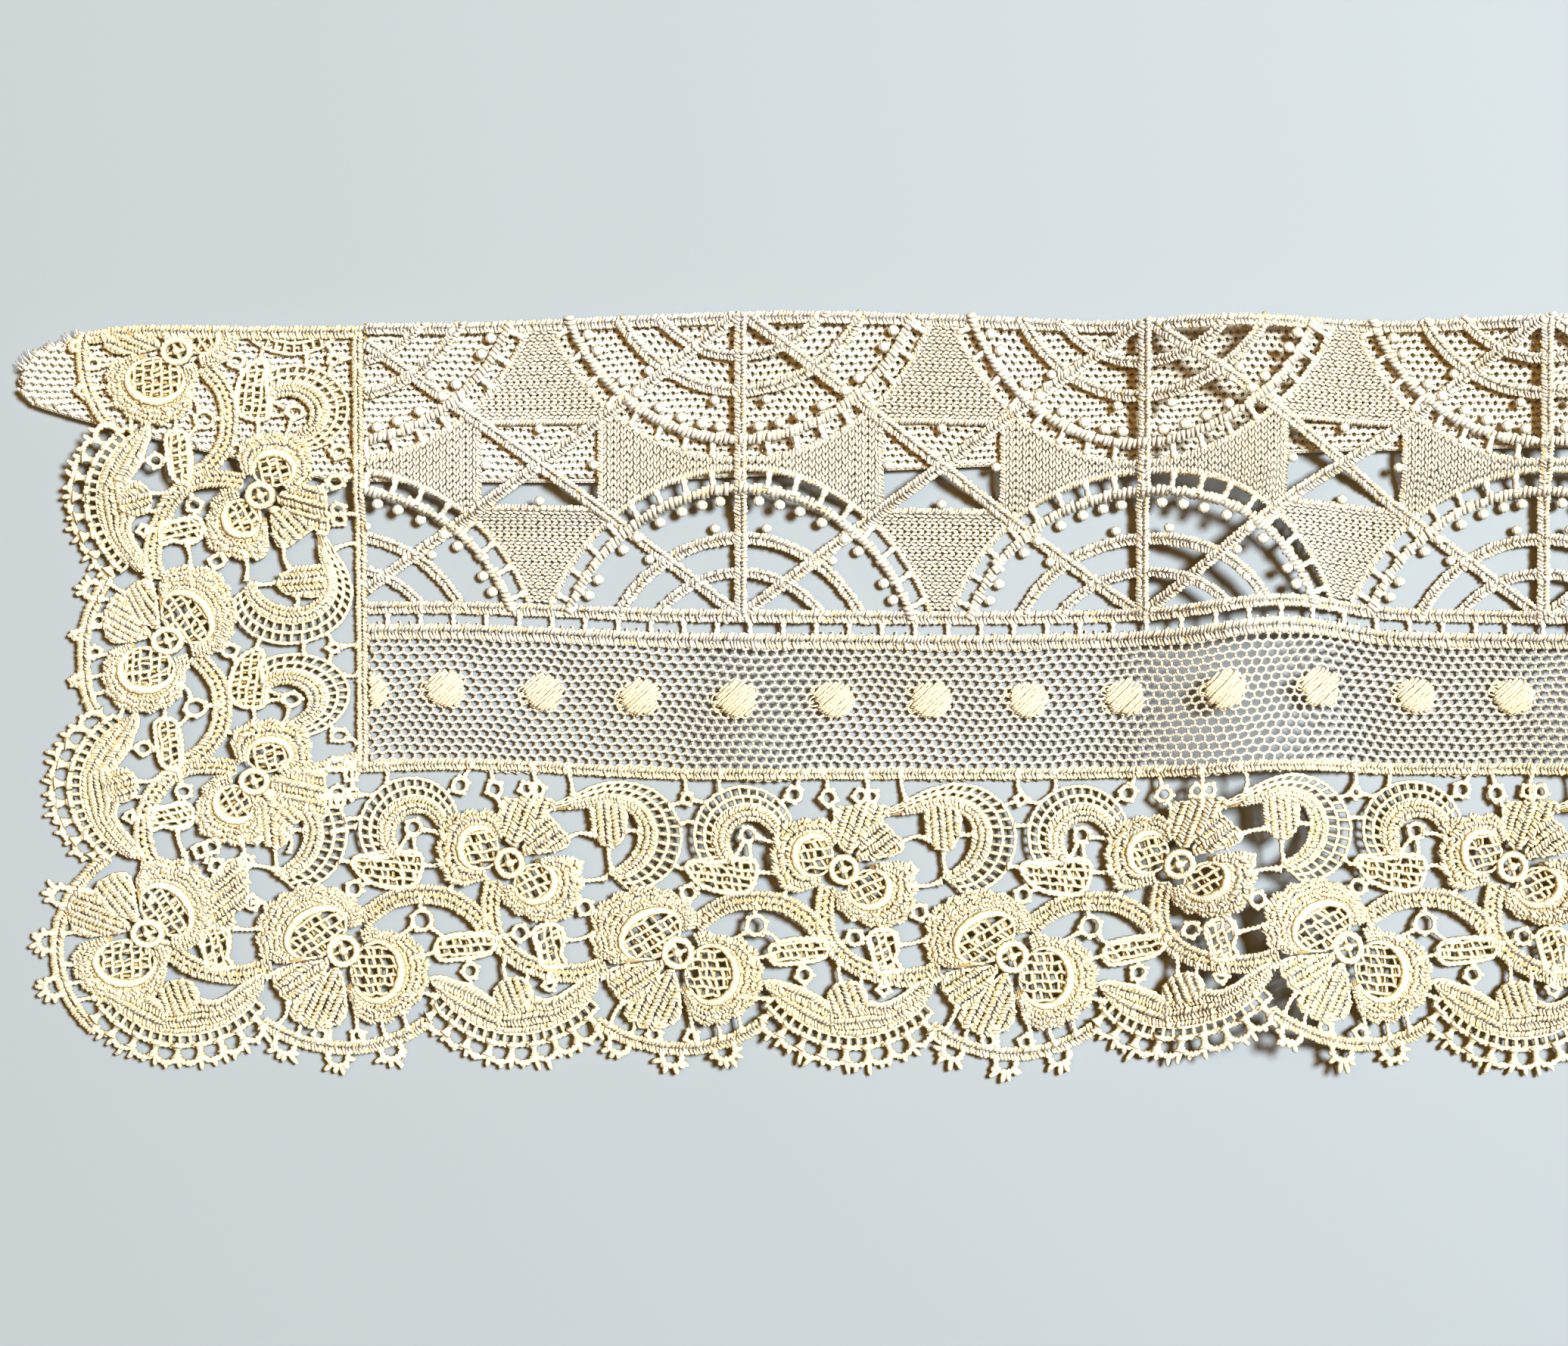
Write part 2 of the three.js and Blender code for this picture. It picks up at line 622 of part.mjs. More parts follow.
function lowerBorder() {
  const toPlan = ({ u, v }) => at(LOWER_START + u, -SEAM / 2 - v);
  const edge = scallopedEdge();
  const path = (repeat) => shifted(REPEAT_PATH, repeat);
  const outlines = [];

  const offset = seamSide(1);
  const corner = at(OUTER_CORNER.x, OUTER_CORNER.y).add(offset);
  const inner = at(-SEAM / 2, -SEAM / 2 + offset.y);
  outlines.push([corner, inner, ...[...path(0), ...shifted(edge, -1).reverse()].map(toPlan)]);

  const lastRepeat = Math.floor((CUT_END - LOWER_START) / REPEAT) - 1;
  for (let repeat = 0; repeat < lastRepeat; repeat += 1) {
    const start = REPEAT_PATH[0].u + repeat * REPEAT;
    const heading = headingBetween(start + REPEAT, start);
    const right = path(repeat + 1).reverse();
    outlines.push([...path(repeat), ...shifted(edge, repeat), ...right, ...heading].map(toPlan));
  }
  const end = CUT_END - LOWER_START;
  const lastEdge = shifted(edge, lastRepeat).filter((p) => p.u < end - 3);
  const cutEdge = [{ u: end, v: FLOWER_SCALLOP.v + FLOWER_SCALLOP.radius }, { u: end, v: 0 }];
  const lastHeading = headingBetween(end, REPEAT_PATH[0].u + lastRepeat * REPEAT);
  outlines.push([...path(lastRepeat), ...lastEdge, ...cutEdge, ...lastHeading].map(toPlan));

  const repeats = Array.from({ length: lastRepeat + 2 }, (_, i) => i - 1);
  return clothSolid(borderCells(outlines, toPlan, repeats), LACE_THICKNESS, () => 0);
}

function sideBorder() {
  const toPlan = ({ u, v }) => {
    const outward = THREE.MathUtils.clamp((v - DRAWN_FROM) / (DRAWN_TO - DRAWN_FROM), 0, 1);
    const drawn = v - outward * lookUp(SIDE_WIDTH, "u", u, "drawnIn");
    return at(-SEAM / 2 - drawn * lookUp(SIDE_WIDTH, "u", u, "wider"), SIDE_START - u * SIDE_SHORTER);
  };
  const edge = scallopedEdge();
  const path = (repeat) => shifted(REPEAT_PATH, repeat);
  const topU = (SIDE_START - TOP_EDGE) / SIDE_SHORTER;

  const topEdge = shifted(edge, -2).filter((p) => p.u > topU + 0.5);
  const topHeading = headingBetween(REPEAT_PATH[0].u - REPEAT, topU);
  const topLeft = { u: topU, v: topEdge[0].v };
  const top = [...path(-1), ...topEdge.reverse(), topLeft, { u: topU, v: 0 }, ...topHeading.reverse()];

  const heading = headingBetween(REPEAT_PATH[0].u, REPEAT_PATH[0].u - REPEAT);
  const middle = [...path(-1), ...shifted(edge, -1), ...path(0).reverse(), ...heading];

  const offset = seamSide(-1);
  const corner = at(OUTER_CORNER.x, OUTER_CORNER.y).add(offset);
  const inner = at(-SEAM / 2, offset.y);
  const bottom = [...[...path(0), ...edge].map(toPlan), corner, inner];

  const outlines = [top.map(toPlan), middle.map(toPlan), bottom];
  return clothSolid(borderCells(outlines, toPlan, [-2, -1, 0]), LACE_THICKNESS, overBacking);
}

// The backing's section doubles back at its fold. Its length follows the two edges in the table.
function netBacking() {
  const outer = BACKING_HEIGHT / 2;
  const hollow = SEAM / 2;
  const section = new THREE.Shape();
  section.moveTo(BACKING_WIDTH, 0);
  section.lineTo(outer, 0);
  section.absarc(outer, outer, outer, -Math.PI / 2, -1.5 * Math.PI, true);
  section.lineTo(BACKING_WIDTH, BACKING_HEIGHT);
  section.lineTo(BACKING_WIDTH, BACKING_HEIGHT - NET_THICKNESS);
  section.lineTo(outer, BACKING_HEIGHT - NET_THICKNESS);
  section.absarc(outer, outer, hollow, -1.5 * Math.PI, -Math.PI / 2, false);
  section.lineTo(BACKING_WIDTH, NET_THICKNESS);

  const start = BACKING_EDGES[0].x;
  const length = CUT_END - start;
  const options = { depth: length, steps: BACKING_STEPS, curveSegments: 4, bevelEnabled: false };
  const geometry = new THREE.ExtrudeGeometry(section, options);
  const points = geometry.getAttribute("position");
  for (let i = 0; i < points.count; i += 1) {
    const x = start + points.getZ(i);
    const share = points.getX(i) / BACKING_WIDTH;
    const fold = backingEdge(x, "fold");
    const y = THREE.MathUtils.lerp(fold, backingEdge(x, "top"), share);
    points.setXYZ(i, x, y + sway(x, y) * share, points.getY(i));
  }
  geometry.computeVertexNormals();
  return geometry;
}

const lace = new THREE.Group();
const pieces = [
  { name: "wheel_insertion", geometry: wheelInsertion(), material: cream },
  { name: "dotted_net", geometry: dottedNet(), material: palerCream },
  { name: "lower_border", geometry: lowerBorder(), material: cream },
  { name: "side_border", geometry: sideBorder(), material: cream },
  { name: "net_backing", geometry: netBacking(), material: palerCream },
];
for (const { name, geometry, material } of pieces) {
  const mesh = new THREE.Mesh(geometry, material);
  mesh.name = name;
  lace.add(mesh);
}

// The part's origin is the middle of its box, at the table.
const box = new THREE.Box3().setFromObject(lace);
const middle = box.getCenter(new THREE.Vector3());
for (const mesh of lace.children) {
  mesh.geometry.translate(-middle.x, -middle.y, -box.min.z);
}

export default lace;
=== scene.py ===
from functools import partial

import bpy
import mathutils
import numpy as np
from numpy.linalg import norm
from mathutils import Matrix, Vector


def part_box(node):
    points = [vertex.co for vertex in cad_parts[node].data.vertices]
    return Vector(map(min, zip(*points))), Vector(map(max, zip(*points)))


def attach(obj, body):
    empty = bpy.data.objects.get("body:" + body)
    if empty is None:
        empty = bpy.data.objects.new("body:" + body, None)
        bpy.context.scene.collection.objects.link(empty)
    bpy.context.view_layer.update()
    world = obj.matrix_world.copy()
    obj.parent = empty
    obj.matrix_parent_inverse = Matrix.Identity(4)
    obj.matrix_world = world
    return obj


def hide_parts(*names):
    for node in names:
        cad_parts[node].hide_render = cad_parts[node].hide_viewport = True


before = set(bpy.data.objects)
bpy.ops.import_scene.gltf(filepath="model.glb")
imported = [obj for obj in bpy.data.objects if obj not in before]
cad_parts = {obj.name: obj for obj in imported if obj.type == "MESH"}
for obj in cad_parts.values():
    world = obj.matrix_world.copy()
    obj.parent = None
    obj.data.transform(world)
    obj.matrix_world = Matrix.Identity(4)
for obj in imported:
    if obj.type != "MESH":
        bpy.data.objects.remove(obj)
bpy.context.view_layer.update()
scene = bpy.context.scene

# Lengths are in millimetres until a mesh is made. The plan starts at the inner corner, where the
# headings meet, with X along the lace and Y up its width. Heights count from the cloth's underside.
MM = 0.001
SEAM = 0.3
CUT_END = 167.5
TOP_EDGE = 56
BOTTOM_EDGE = -39
NET_TOP = 15.7
BACKING_LIFT = 2.3
RAMP_X = [-34, -6]
RAMP_START = [18, 6.5]
RAMP_END = 1
LADDER = 18.3
SPRING_REACH = [0, 7, 28, 38]
SPRING_HEIGHT = [0, 0.85, 0.85, 0.3825]
SPRING_UNEVEN = 0.35

# Ripples: crest at the top edge, crest at the bottom edge, half width, height.
RIPPLES = [(108, 115, 17, 4.4), (54, 48, 12, 0.9), (152, 158, 11, 1.2)]
# Waves in plan: place, half width, then the shifts at the bottom edge, heading, ladder and top edge.
WAVES = [
    (12, 30, 0, 1.2, 0.6, 0), (56, 52, 0, -0.1, -0.3, 1.5), (80, 150, 0, 0, -1, 0),
    (80, 30, -0.8, 0, -0.2, 0), (113, 21, 2, 0.3, 0.6, 0.9), (117, 16, 0, 0.5, 1.3, 0),
    (130, 45, 0, 0.5, 0, 0), (158, 38, -0.7, 0.3, -0.85, 1.2),
]
# Folded net strip: place along the lace, fold, top edge.
BACKING_X = [-44, -42, -36, -22, -4, 30, 124, CUT_END]
BACKING_FOLD = [47.4, 45.4, 43.6, 40, 35.8, 35.6, 39.6, 40.4]
BACKING_TOP = [50, 52.2, 54.8, 55.3, 55.3, 55.3, 55.3, 55.3]

# Floral border: u runs along the heading, v outward from it.
REPEAT = 42.5
LOWER_START = -2.5
SIDE_START = 16
SIDE_SHORTER = 0.859
# The side is wider at the corner, and its middle scallop is drawn in at the outer edge.
SIDE_U = [-18, -8, 3, 12]
SIDE_WIDER = [0.985, 1.03, 1.05, 1.05]
DRAWN_IN = [0, 2, 2, 0]
DRAWN_V = [27, 34]
# Its scrolls lie against the heading.
NEAR_V = [0.6, 2.2, 10]
NEARER = [0, 0.85, 0]

# Half wheels of the insertion.
WHEEL_PITCH = 51
FIRST_WHEEL = -3
WHEELS = 4
HEADING = 20
MIDLINE = 38
WHEEL_SINK = 8.2
FOOT_LINE = 16.85
LADDER_PITCH = 4.2
# Radii of their parts, with the widths of the inner arcs.
INNER_ARCS = [(13.4, 1.25), (17.5, 1.45)]
THICK_ARC = 23.3
RIM_ARC = 25.7
SLOT_MIDDLE = 24.4
# Knots: reach from the wheel's middle, radius, height and angles.
WHEEL_KNOTS = [
    (21.9, 0.74, 0.8, (28, 34, 47, 53, 62, 70, 77, 84, 97, 103, 110, 118, 127, 133, 146, 152)),
    (18.9, 0.66, 0.75, (52, 80, 100, 128)),
]
KNOT_INSET = 0.85
# Knit triangles.
KNIT_RIM = 25.3
KNIT_INSET = 0.25
KNIT_LENGTH = 0.86
KNIT_SPREAD = 0.28

# Net band: cell, then the places of the dots.
NET_CELL = (1.33, 1.03)
CUT_DOT = 0.6
FIRST_DOT = 10.5
DOT_PITCH = 12.35
DOTS = 13
DOT_LINE = 9
DOT_RADIUS = 2.45

# Threads: step along a line, length of a ply's turn, and how uneven they are.
STEP = 0.4
PLY = 0.7
UNEVEN = 0.035
SIZE_SPREAD = 0.12
SLIP_SPREAD = 0.3
RISE_SPREAD = 0.06
SWELL_SPREAD = 0.06
# Rows of stitches and the ground under them.
ROW = 0.84
NARROWEST = 0.25
SLANT = 0.7
GROUND_STEP = 1.2
GROUND_RADII = (0.08, 0.38)
GROUND_SINK = 0.25
FILL_ROW = 0.95
FILL_HEIGHT = 0.6
SOLID_LEAN = 0.36
SOLID_SHARE = 0.86
STEM_WIDTH = 2.35
STEM_HEIGHT = 0.65
MESH_HEIGHT = 0.68
MESH_LEAN = 0.3
MESH_BARS = 1.06
# Radii and heights along a bar and along a petal's crescent, and the length of a lump.
BAR_RADII = 0.32 * np.array([1.9, 1.1, 0.95, 1.1, 1.9])
BAR_HEIGHTS = [0.62, 0.5, 0.62]
CRESCENT_RADII = [0.1, 0.34, 0.56, 0.66, 0.66, 0.56, 0.34, 0.1]
CRESCENT_HEIGHTS = [0.6, 0.95, 1, 0.95, 0.6]
LUMP = 2.3
rng = np.random.default_rng(11)
noise = rng.standard_normal

side_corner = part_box("side_border")[1]
PLAN_SHIFT = np.array([side_corner[0] / MM + SEAM / 2, side_corner[1] / MM - TOP_EDGE, 0])


def bump(distance, half_width):
    """A smooth hump, 1 in its middle."""
    hump = (1 + np.cos(np.pi * distance / half_width)) / 2
    return np.where(np.abs(distance) < half_width, hump, 0)


def ripple_height(x, y):
    height = np.zeros_like(x)
    down = (TOP_EDGE - y) / (TOP_EDGE - BOTTOM_EDGE)
    for at_top, at_bottom, half_width, crest in RIPPLES:
        height += crest * bump(x - (at_top + (at_bottom - at_top) * down), half_width)
    return height


def sway(x, y):
    shift = np.zeros_like(x)
    for middle, half_width, *levels in WAVES:
        shift += np.interp(y, [BOTTOM_EDGE, 0, LADDER, TOP_EDGE], levels) * bump(x - middle, half_width)
    return shift


backing_fold = partial(np.interp, xp=BACKING_X, fp=BACKING_FOLD)
backing_top = partial(np.interp, xp=BACKING_X, fp=BACKING_TOP)


def over_backing(x, y):
    """The lace's climb on to the folded strip, slower at the side."""
    start = np.interp(x, RAMP_X, RAMP_START)
    ramp = np.clip((y - backing_fold(x) + start) / (start - RAMP_END), 0, 1)
    return BACKING_LIFT * ramp * ramp * (3 - 2 * ramp)


def springy(x, y):
    """The stiff floral borders stand off the table, here more and there less."""
    patches = np.sin(0.37 * x + 0.11 * y) * np.sin(0.29 * y - 0.07 * x + 1)
    return np.interp(np.maximum(-x, -y), SPRING_REACH, SPRING_HEIGHT) * (1 + SPRING_UNEVEN * patches)


def draped(x, y):
    return x, y + sway(x, y), ripple_height(x, y) + springy(x, y)


def draped_high(x, y):
    """Cloth that lies partly on the folded strip."""
    height = ripple_height(x, y) + np.maximum(over_backing(x, y), springy(x, y))
    return x, y + sway(x, y), height


def unit(vectors):
    return vectors / np.maximum(norm(vectors, axis=-1, keepdims=True), 1e-9)


def joined(*arrays):
    """Arrays side by side along a new last axis."""
    return np.stack(arrays, axis=-1)


def direction(degrees):
    """Unit steps at angles from X to Y, or from u to v."""
    turn = np.radians(degrees)
    return joined(np.cos(turn), np.sin(turn))


def left_of(vectors):
    return joined(-vectors[..., 1], vectors[..., 0])


class Threads:
    """Round threads on a plan, made into one mesh. Its u counts stitches of two points, or plies."""

    def __init__(self, drape, keep=None, ply=None):
        self.drape = drape
        self.keep = keep
        self.ply = ply
        self.place = None
        self.kinds = {}

    def add(self, line, radius, height, sides=4, closed=False):
        """One thread, of which only the stretches on the cloth stay."""
        plan, kept = self.placed(np.asarray(line, float))
        rows = joined(*np.broadcast_arrays(*plan.T, radius, height))
        cuts = np.nonzero(np.diff(kept))[0] + 1
        for part, inside in zip(np.split(rows, cuts), np.split(kept, cuts)):
            if inside[0] and len(part) > 1:
                self.store(part[None], sides, closed and kept.all())

    def add_many(self, lines, radius, height, sides=4):
        """Short threads, of which those wholly on the cloth stay."""
        shape = lines.shape[:2]
        plan, kept = self.placed(lines.reshape(-1, 2))
        x, y = plan.T.reshape(2, *shape)
        group = joined(*np.broadcast_arrays(x, y, radius, height))
        self.store(group[kept.reshape(shape).all(axis=1)], sides)

    def placed(self, plan):
        """Points in their places, and which of them are on the cloth."""
        if self.place is not None:
            plan = self.place(plan)
        return plan, np.ones(len(plan), bool) if self.keep is None else self.keep(plan)

    def store(self, group, sides, closed=False):
        self.kinds.setdefault((group.shape[1], sides, closed), []).append(group)

    def tubes(self, lines, closed, sides):
        """Points round every thread of one kind, and the lengths along them."""
        x, y, radius, height = np.moveaxis(np.concatenate(lines), -1, 0)
        x, y, base = self.drape(x, y)
        centre = joined(x, y, base + height)
        ahead = np.roll(centre, -1, axis=1) - np.roll(centre, 1, axis=1)
        if not closed:
            ahead[:, 0] = centre[:, 1] - centre[:, 0]
            ahead[:, -1] = centre[:, -1] - centre[:, -2]
        ahead = unit(ahead)
        across = unit(np.cross(ahead, [0, 0, 1]))
        over = np.cross(across, ahead)
        turn = 2 * np.pi * np.arange(sides) / sides - np.pi / 2
        ring = np.cos(turn)[:, None] * across[:, :, None] + np.sin(turn)[:, None] * over[:, :, None]
        points = centre[:, :, None] + radius[:, :, None, None] * ring
        if self.ply is None:
            return points, np.arange(centre.shape[1] + 1)[None] / 2
        steps = norm(np.roll(centre, -1, axis=1) - centre, axis=-1) / self.ply
        return points, np.cumsum(np.pad(steps, ((0, 0), (1, 0))), axis=1)

    def build(self, name):
        """One mesh of all the threads, with u along and v around each."""
        vertices, corners, sizes, uvs = [], [], [], []
        first = 0

        def add_faces(faces, u, v):
            corners.append(faces.ravel())
            sizes.append(np.full(faces[..., 0].size, faces.shape[-1]))
            u, v, _ = np.broadcast_arrays(u, v, faces)
            uvs.append(joined(u.ravel(), v.ravel()))

        for (_, sides, closed), lines in self.kinds.items():
            points, along = self.tubes(lines, closed, sides)
            number = first + np.arange(points[..., 0].size).reshape(points.shape[:3])
            first += number.size
            vertices.append(points.reshape(-1, 3))
            near = number if closed else number[:, :-1]
            far = np.roll(number, -1, axis=1) if closed else number[:, 1:]
            spans = near.shape[1]
            near_u, far_u = along[:, :spans, None], along[:, 1:spans + 1, None]
            low_v = np.arange(sides) / sides
            high_v = low_v + 1 / sides
            quads = joined(near, far, np.roll(far, -1, axis=2), np.roll(near, -1, axis=2))
            add_faces(quads, joined(near_u, far_u, far_u, near_u), joined(low_v, low_v, high_v, high_v))
            if not closed:
                add_faces(number[:, 0], 0, low_v)
                add_faces(number[:, -1, ::-1], 0, low_v[::-1])
        return make_mesh(name, *(np.concatenate(part) for part in (vertices, corners, sizes, uvs)))


def make_mesh(name, vertices, corners, sizes, uvs):
    mesh = bpy.data.meshes.new(name)
    mesh.vertices.add(len(vertices))
    mesh.vertices.foreach_set("co", ((vertices + PLAN_SHIFT) * MM).ravel())
    mesh.loops.add(len(corners))
    mesh.loops.foreach_set("vertex_index", corners.astype(np.int32))
    mesh.polygons.add(len(sizes))
    mesh.polygons.foreach_set("loop_start", (np.cumsum(sizes) - sizes).astype(np.int32))
    mesh.update(calc_edges=True)
    layer = mesh.uv_layers.new(name="thread")
    layer.data.foreach_set("uv", uvs.astype(np.float32).ravel())
    mesh.shade_smooth()
    piece = bpy.data.objects.new(name, mesh)
    scene.collection.objects.link(piece)
    return piece


class Lace:
    """Needle lace: stitches, the ground under them, cords and open threads."""

    def __init__(self, drape, keep):
        self.stitches = Threads(drape, keep)
        self.ground = Threads(drape, keep, PLY)
        self.cords = Threads(drape, keep)
        self.openwork = Threads(drape, keep, PLY)

    def place(self, place):
        for threads in vars(self).values():
            threads.place = place


def evenly(line, step, closed=False):
    """Points a step apart. A closed line, which ends where it starts, loses its last."""
    line = np.asarray(line, float)
    lengths = np.append(0, np.cumsum(norm(np.diff(line, axis=0), axis=1)))
    count = max(1, round(lengths[-1] / step))
    if closed:
        count = max(4, 2 * round(count / 2))
    places = np.linspace(0, lengths[-1], count + 1)
    points = joined(*(np.interp(places, lengths, part) for part in line.T))
    return points[:-1] if closed else points


def smooth(points, step=STEP, closed=False):
    """A smooth line through a few points. A closed one ends where it starts."""
    p = np.asarray(points, float)
    before, after = (p[-1], p[:2]) if closed else (2 * p[0] - p[1], 2 * p[-1] - p[-2])
    p = np.vstack([before, p, after])
    t = np.arange(12)[:, None] / 12
    stretches = []
    for a, b, c, d in zip(p[:-3], p[1:-2], p[2:-1], p[3:]):
        bend = (2 * a - 5 * b + 4 * c - d) * t**2 + (3 * b - a - 3 * c + d) * t**3
        stretches.append((2 * b + (c - a) * t + bend) / 2)
    stretches.append(p[-2:-1])
    return evenly(np.vstack(stretches), step)


def arc(centre, radius, start, end, step=STEP):
    """Part of a circle or, with two radii, of an ellipse, between two angles."""
    reach = np.broadcast_to(radius, 2)
    count = max(3, round(np.radians(abs(end - start)) * reach.max() / step))
    return centre + reach * direction(np.linspace(start, end, count + 1))


def oval(centre, long, wide, tilt):
    """A closed ellipse, turned by tilt degrees."""
    along = direction(tilt)
    return centre + arc((0, 0), (long, wide), 0, 360) @ [along, left_of(along)]


def polar(centre, rows):
    """Points about a centre from rows of angle and radius, with angles up from u."""
    angle, radius = np.array(rows, float).T
    return centre + radius[:, None] * direction(-angle)


def offset(line, distance):
    return line + distance * left_of(unit(np.gradient(line, axis=0)))


def spread(values, count):
    """Values spaced evenly along a thread."""
    values = np.atleast_1d(values)
    return np.interp(np.linspace(0, 1, count), np.linspace(0, 1, len(values)), values)


def matched(first, second):
    """Two lines with as many points."""
    count = max(len(first), len(second))
    return [joined(*(spread(part, count) for part in line.T)) for line in (first, second)]


def shaken(line, share=1):
    """A line with its points moved a little at random."""
    return line + share * UNEVEN * noise(line.shape)


def cord(lace, line, radius, height, bead=0.7, swell=0.16, closed=False):
    """A cord that swells at each stitch. Its radius and height may change."""
    line = evenly(line, bead / 2, closed)
    count = len(line)
    swelling = 1 + swell * np.cos(np.pi * np.arange(count)) + SWELL_SPREAD * noise(count)
    lace.cords.add(shaken(line), spread(radius, count) * swelling, spread(height, count), 5, closed)


def thread(lace, line, radius, height):
    lace.openwork.add(shaken(np.asarray(line, float)), radius, height)


def row(lace, line, width, height, pitch, radius, lean=0):
    """Stitches over a ground cord. They slant to and fro or, with a lean, all one way."""
    points = evenly(line, pitch)
    count = len(points)
    width, height = spread(width, count), spread(height, count)
    ahead = unit(np.gradient(points, axis=0))
    way = np.sign(lean) or np.where(np.arange(count) % 2, -1, 1)
    reach = way * width / 2 * (1 + SIZE_SPREAD * noise(count))
    slip = (abs(lean) or SLANT * pitch) / 2 * (1 + SLIP_SPREAD * noise(count))
    half = ahead * slip[:, None] + left_of(ahead) * reach[:, None]
    middle = shaken(points)
    legs = np.stack([middle - half, middle + half], axis=1)
    size = radius * (1 + SIZE_SPREAD * noise(count))
    rise = height + RISE_SPREAD * noise(count)
    wide = width > NARROWEST
    lace.stitches.add_many(legs[wide], size[wide, None], rise[wide, None], sides=3)
    below = evenly(line, GROUND_STEP)
    size = np.clip(0.5 * spread(width, len(below)), *GROUND_RADII)
    lace.ground.add(below, size, spread(height, len(below)) - GROUND_SINK)


def solid_row(lace, line, width, height, number):
    """A row of solid work, whose lean changes from row to row."""
    lean = SOLID_LEAN if number % 2 else -SOLID_LEAN
    row(lace, line, SOLID_SHARE * width, height, pitch=0.46, radius=0.25, lean=lean)


def edge_row(lace, line, width, height):
    """A narrow row of slanting stitches."""
    row(lace, line, width, height, pitch=0.42, radius=0.2, lean=0.4)


def fill(lace, outer, inner, puff=0.35):
    """Rows of stitches between two lines, highest in the middle."""
    outer, inner = matched(outer, inner)
    depth = norm(outer - inner, axis=1)
    rows = max(1, round(depth.max() / FILL_ROW))
    for number in range(rows):
        share = (number + 0.5) / rows
        line = inner + (outer - inner) * share
        solid_row(lace, line, depth / rows, FILL_HEIGHT + puff * np.sin(np.pi * share), number)


def rungs(lace, near, far, pitch=1.12, radius=0.24):
    """Short threads between two lines."""
    lengths = [norm(np.diff(line, axis=0), axis=1).sum() for line in (near, far)]
    count = max(1, round(sum(lengths) / 2 / pitch))
    for start, end in zip(evenly(near, lengths[0] / count), evenly(far, lengths[1] / count)):
        thread(lace, [start, end], radius * (1 + 0.1 * noise()), height=0.5)


def plait(lace, line, apart, width, height, radius, lean):
    """Two rows of stitches beside a line, that slant two ways."""
    line = evenly(line, STEP)
    for side in (-1, 1):
        row(lace, offset(line, side * apart), width, height, 0.44, radius, side * lean)
    return line


def tape(lace, line, width, height=0.6):
    plait(lace, line, 0.26 * width, 0.48 * width, height, radius=0.24, lean=0.4)


def stem(lace, line):
    """A narrow braid: a row of stitches between two plaited edges."""
    line = plait(lace, line, 0.36 * STEM_WIDTH, 0.3 * STEM_WIDTH, STEM_HEIGHT + 0.06, radius=0.23, lean=0.38)
    row(lace, line, 0.42 * STEM_WIDTH, STEM_HEIGHT - 0.06, pitch=0.5, radius=0.21)


def scroll(lace, outer, inner, ladders):
    """Open ladders along an outer line, and solid rows to an inner line."""
    outer, inner = matched(outer, inner)
    lines = [outer + (inner - outer) * share for share in ladders]
    gap = (ladders[1] - ladders[0]) * norm(inner - outer, axis=1)
    for line in lines:
        cord(lace, line, np.clip(0.04 + 0.26 * gap, 0.1, 0.27), 0.55, swell=0.15)
    for near, far in zip(lines, lines[1:]):
        rungs(lace, near, far)
    fill(lace, lines[-1], inner, puff=0.3)


def hatch(outline, angle, pitch):
    """Straight lines across a closed outline, a pitch apart."""
    along = direction(angle)
    across = left_of(along)
    start, place = outline @ across, outline @ along
    end, next_place = np.roll(start, -1), np.roll(place, -1)
    lines = []
    for level in np.arange(start.min() + pitch / 2, start.max(), pitch):
        cut = (start > level) != (end > level)
        share = (level - start[cut]) / (end[cut] - start[cut])
        ends = np.sort(place[cut] + share * (next_place[cut] - place[cut]))
        for low, high in zip(ends[::2], ends[1::2]):
            if high - low > pitch / 2:
                lines.append(np.outer([low, high], along) + level * across)
    return lines


def open_mesh(lace, outline, angle, pitch=1.15, radius=0.25):
    """Threads across an outline and short leaning bars between them, over sparse ground threads whose dark
    colour paints shade into the holes.
    """
    along = direction(angle)
    lines = hatch(outline, angle, pitch)
    # Sparse ground threads under the mesh, in the darker ground colour, paint brown shade in its holes.
    for line in hatch(outline, angle + 90, 1.5 * pitch):
        lace.ground.add(line, radius=0.24, height=0.26)
    for line in lines:
        wavy = evenly(line, 0.5)
        thread(lace, wavy + 0.09 * noise(wavy.shape), radius, MESH_HEIGHT + 0.08)
    for near, far in zip(lines, lines[1:]):
        (start, end), (far_start, far_end) = near @ along, far @ along
        for place in np.arange(max(start, far_start) + MESH_LEAN, min(end, far_end) - MESH_LEAN, MESH_BARS):
            place += 0.14 * noise()
            foot = near[0] + (place - start) * along
            head = far[0] + (place + MESH_LEAN + 0.2 * noise() - far_start) * along
            thread(lace, [foot, head], (0.95 + 0.2 * noise()) * radius, MESH_HEIGHT)


def ring(lace, centre, reach, radius, height, bead):
    cord(lace, arc(centre, reach, 0, 360, bead), radius, height, bead, swell=0.06, closed=True)


def ball(lace, centre, radius, height):
    line = centre + np.outer([-0.95, -0.55, 0, 0.55, 0.95], [radius, 0])
    lace.cords.add(line, radius * np.array([0.35, 0.85, 1, 0.85, 0.35]), height, sides=7)


def bar(lace, start, end):
    """A wrapped bar, a little bent and thicker at its ends."""
    start, end = np.array([start, end])
    middle = (start + end) / 2 + 0.07 * noise() * left_of(end - start)
    cord(lace, smooth([start, middle, end]), BAR_RADII, BAR_HEIGHTS, bead=0.6, swell=0.2)


def picot_ring(lace, centre, reach):
    """A small ring on a bar, with a few bumps."""
    ring(lace, centre, reach, radius=0.35, height=0.55, bead=0.5)
    start = rng.uniform(0, 360)
    for point in arc(centre, reach + 0.22, start, start + 240, 2):
        ball(lace, point, 0.34, 0.6)


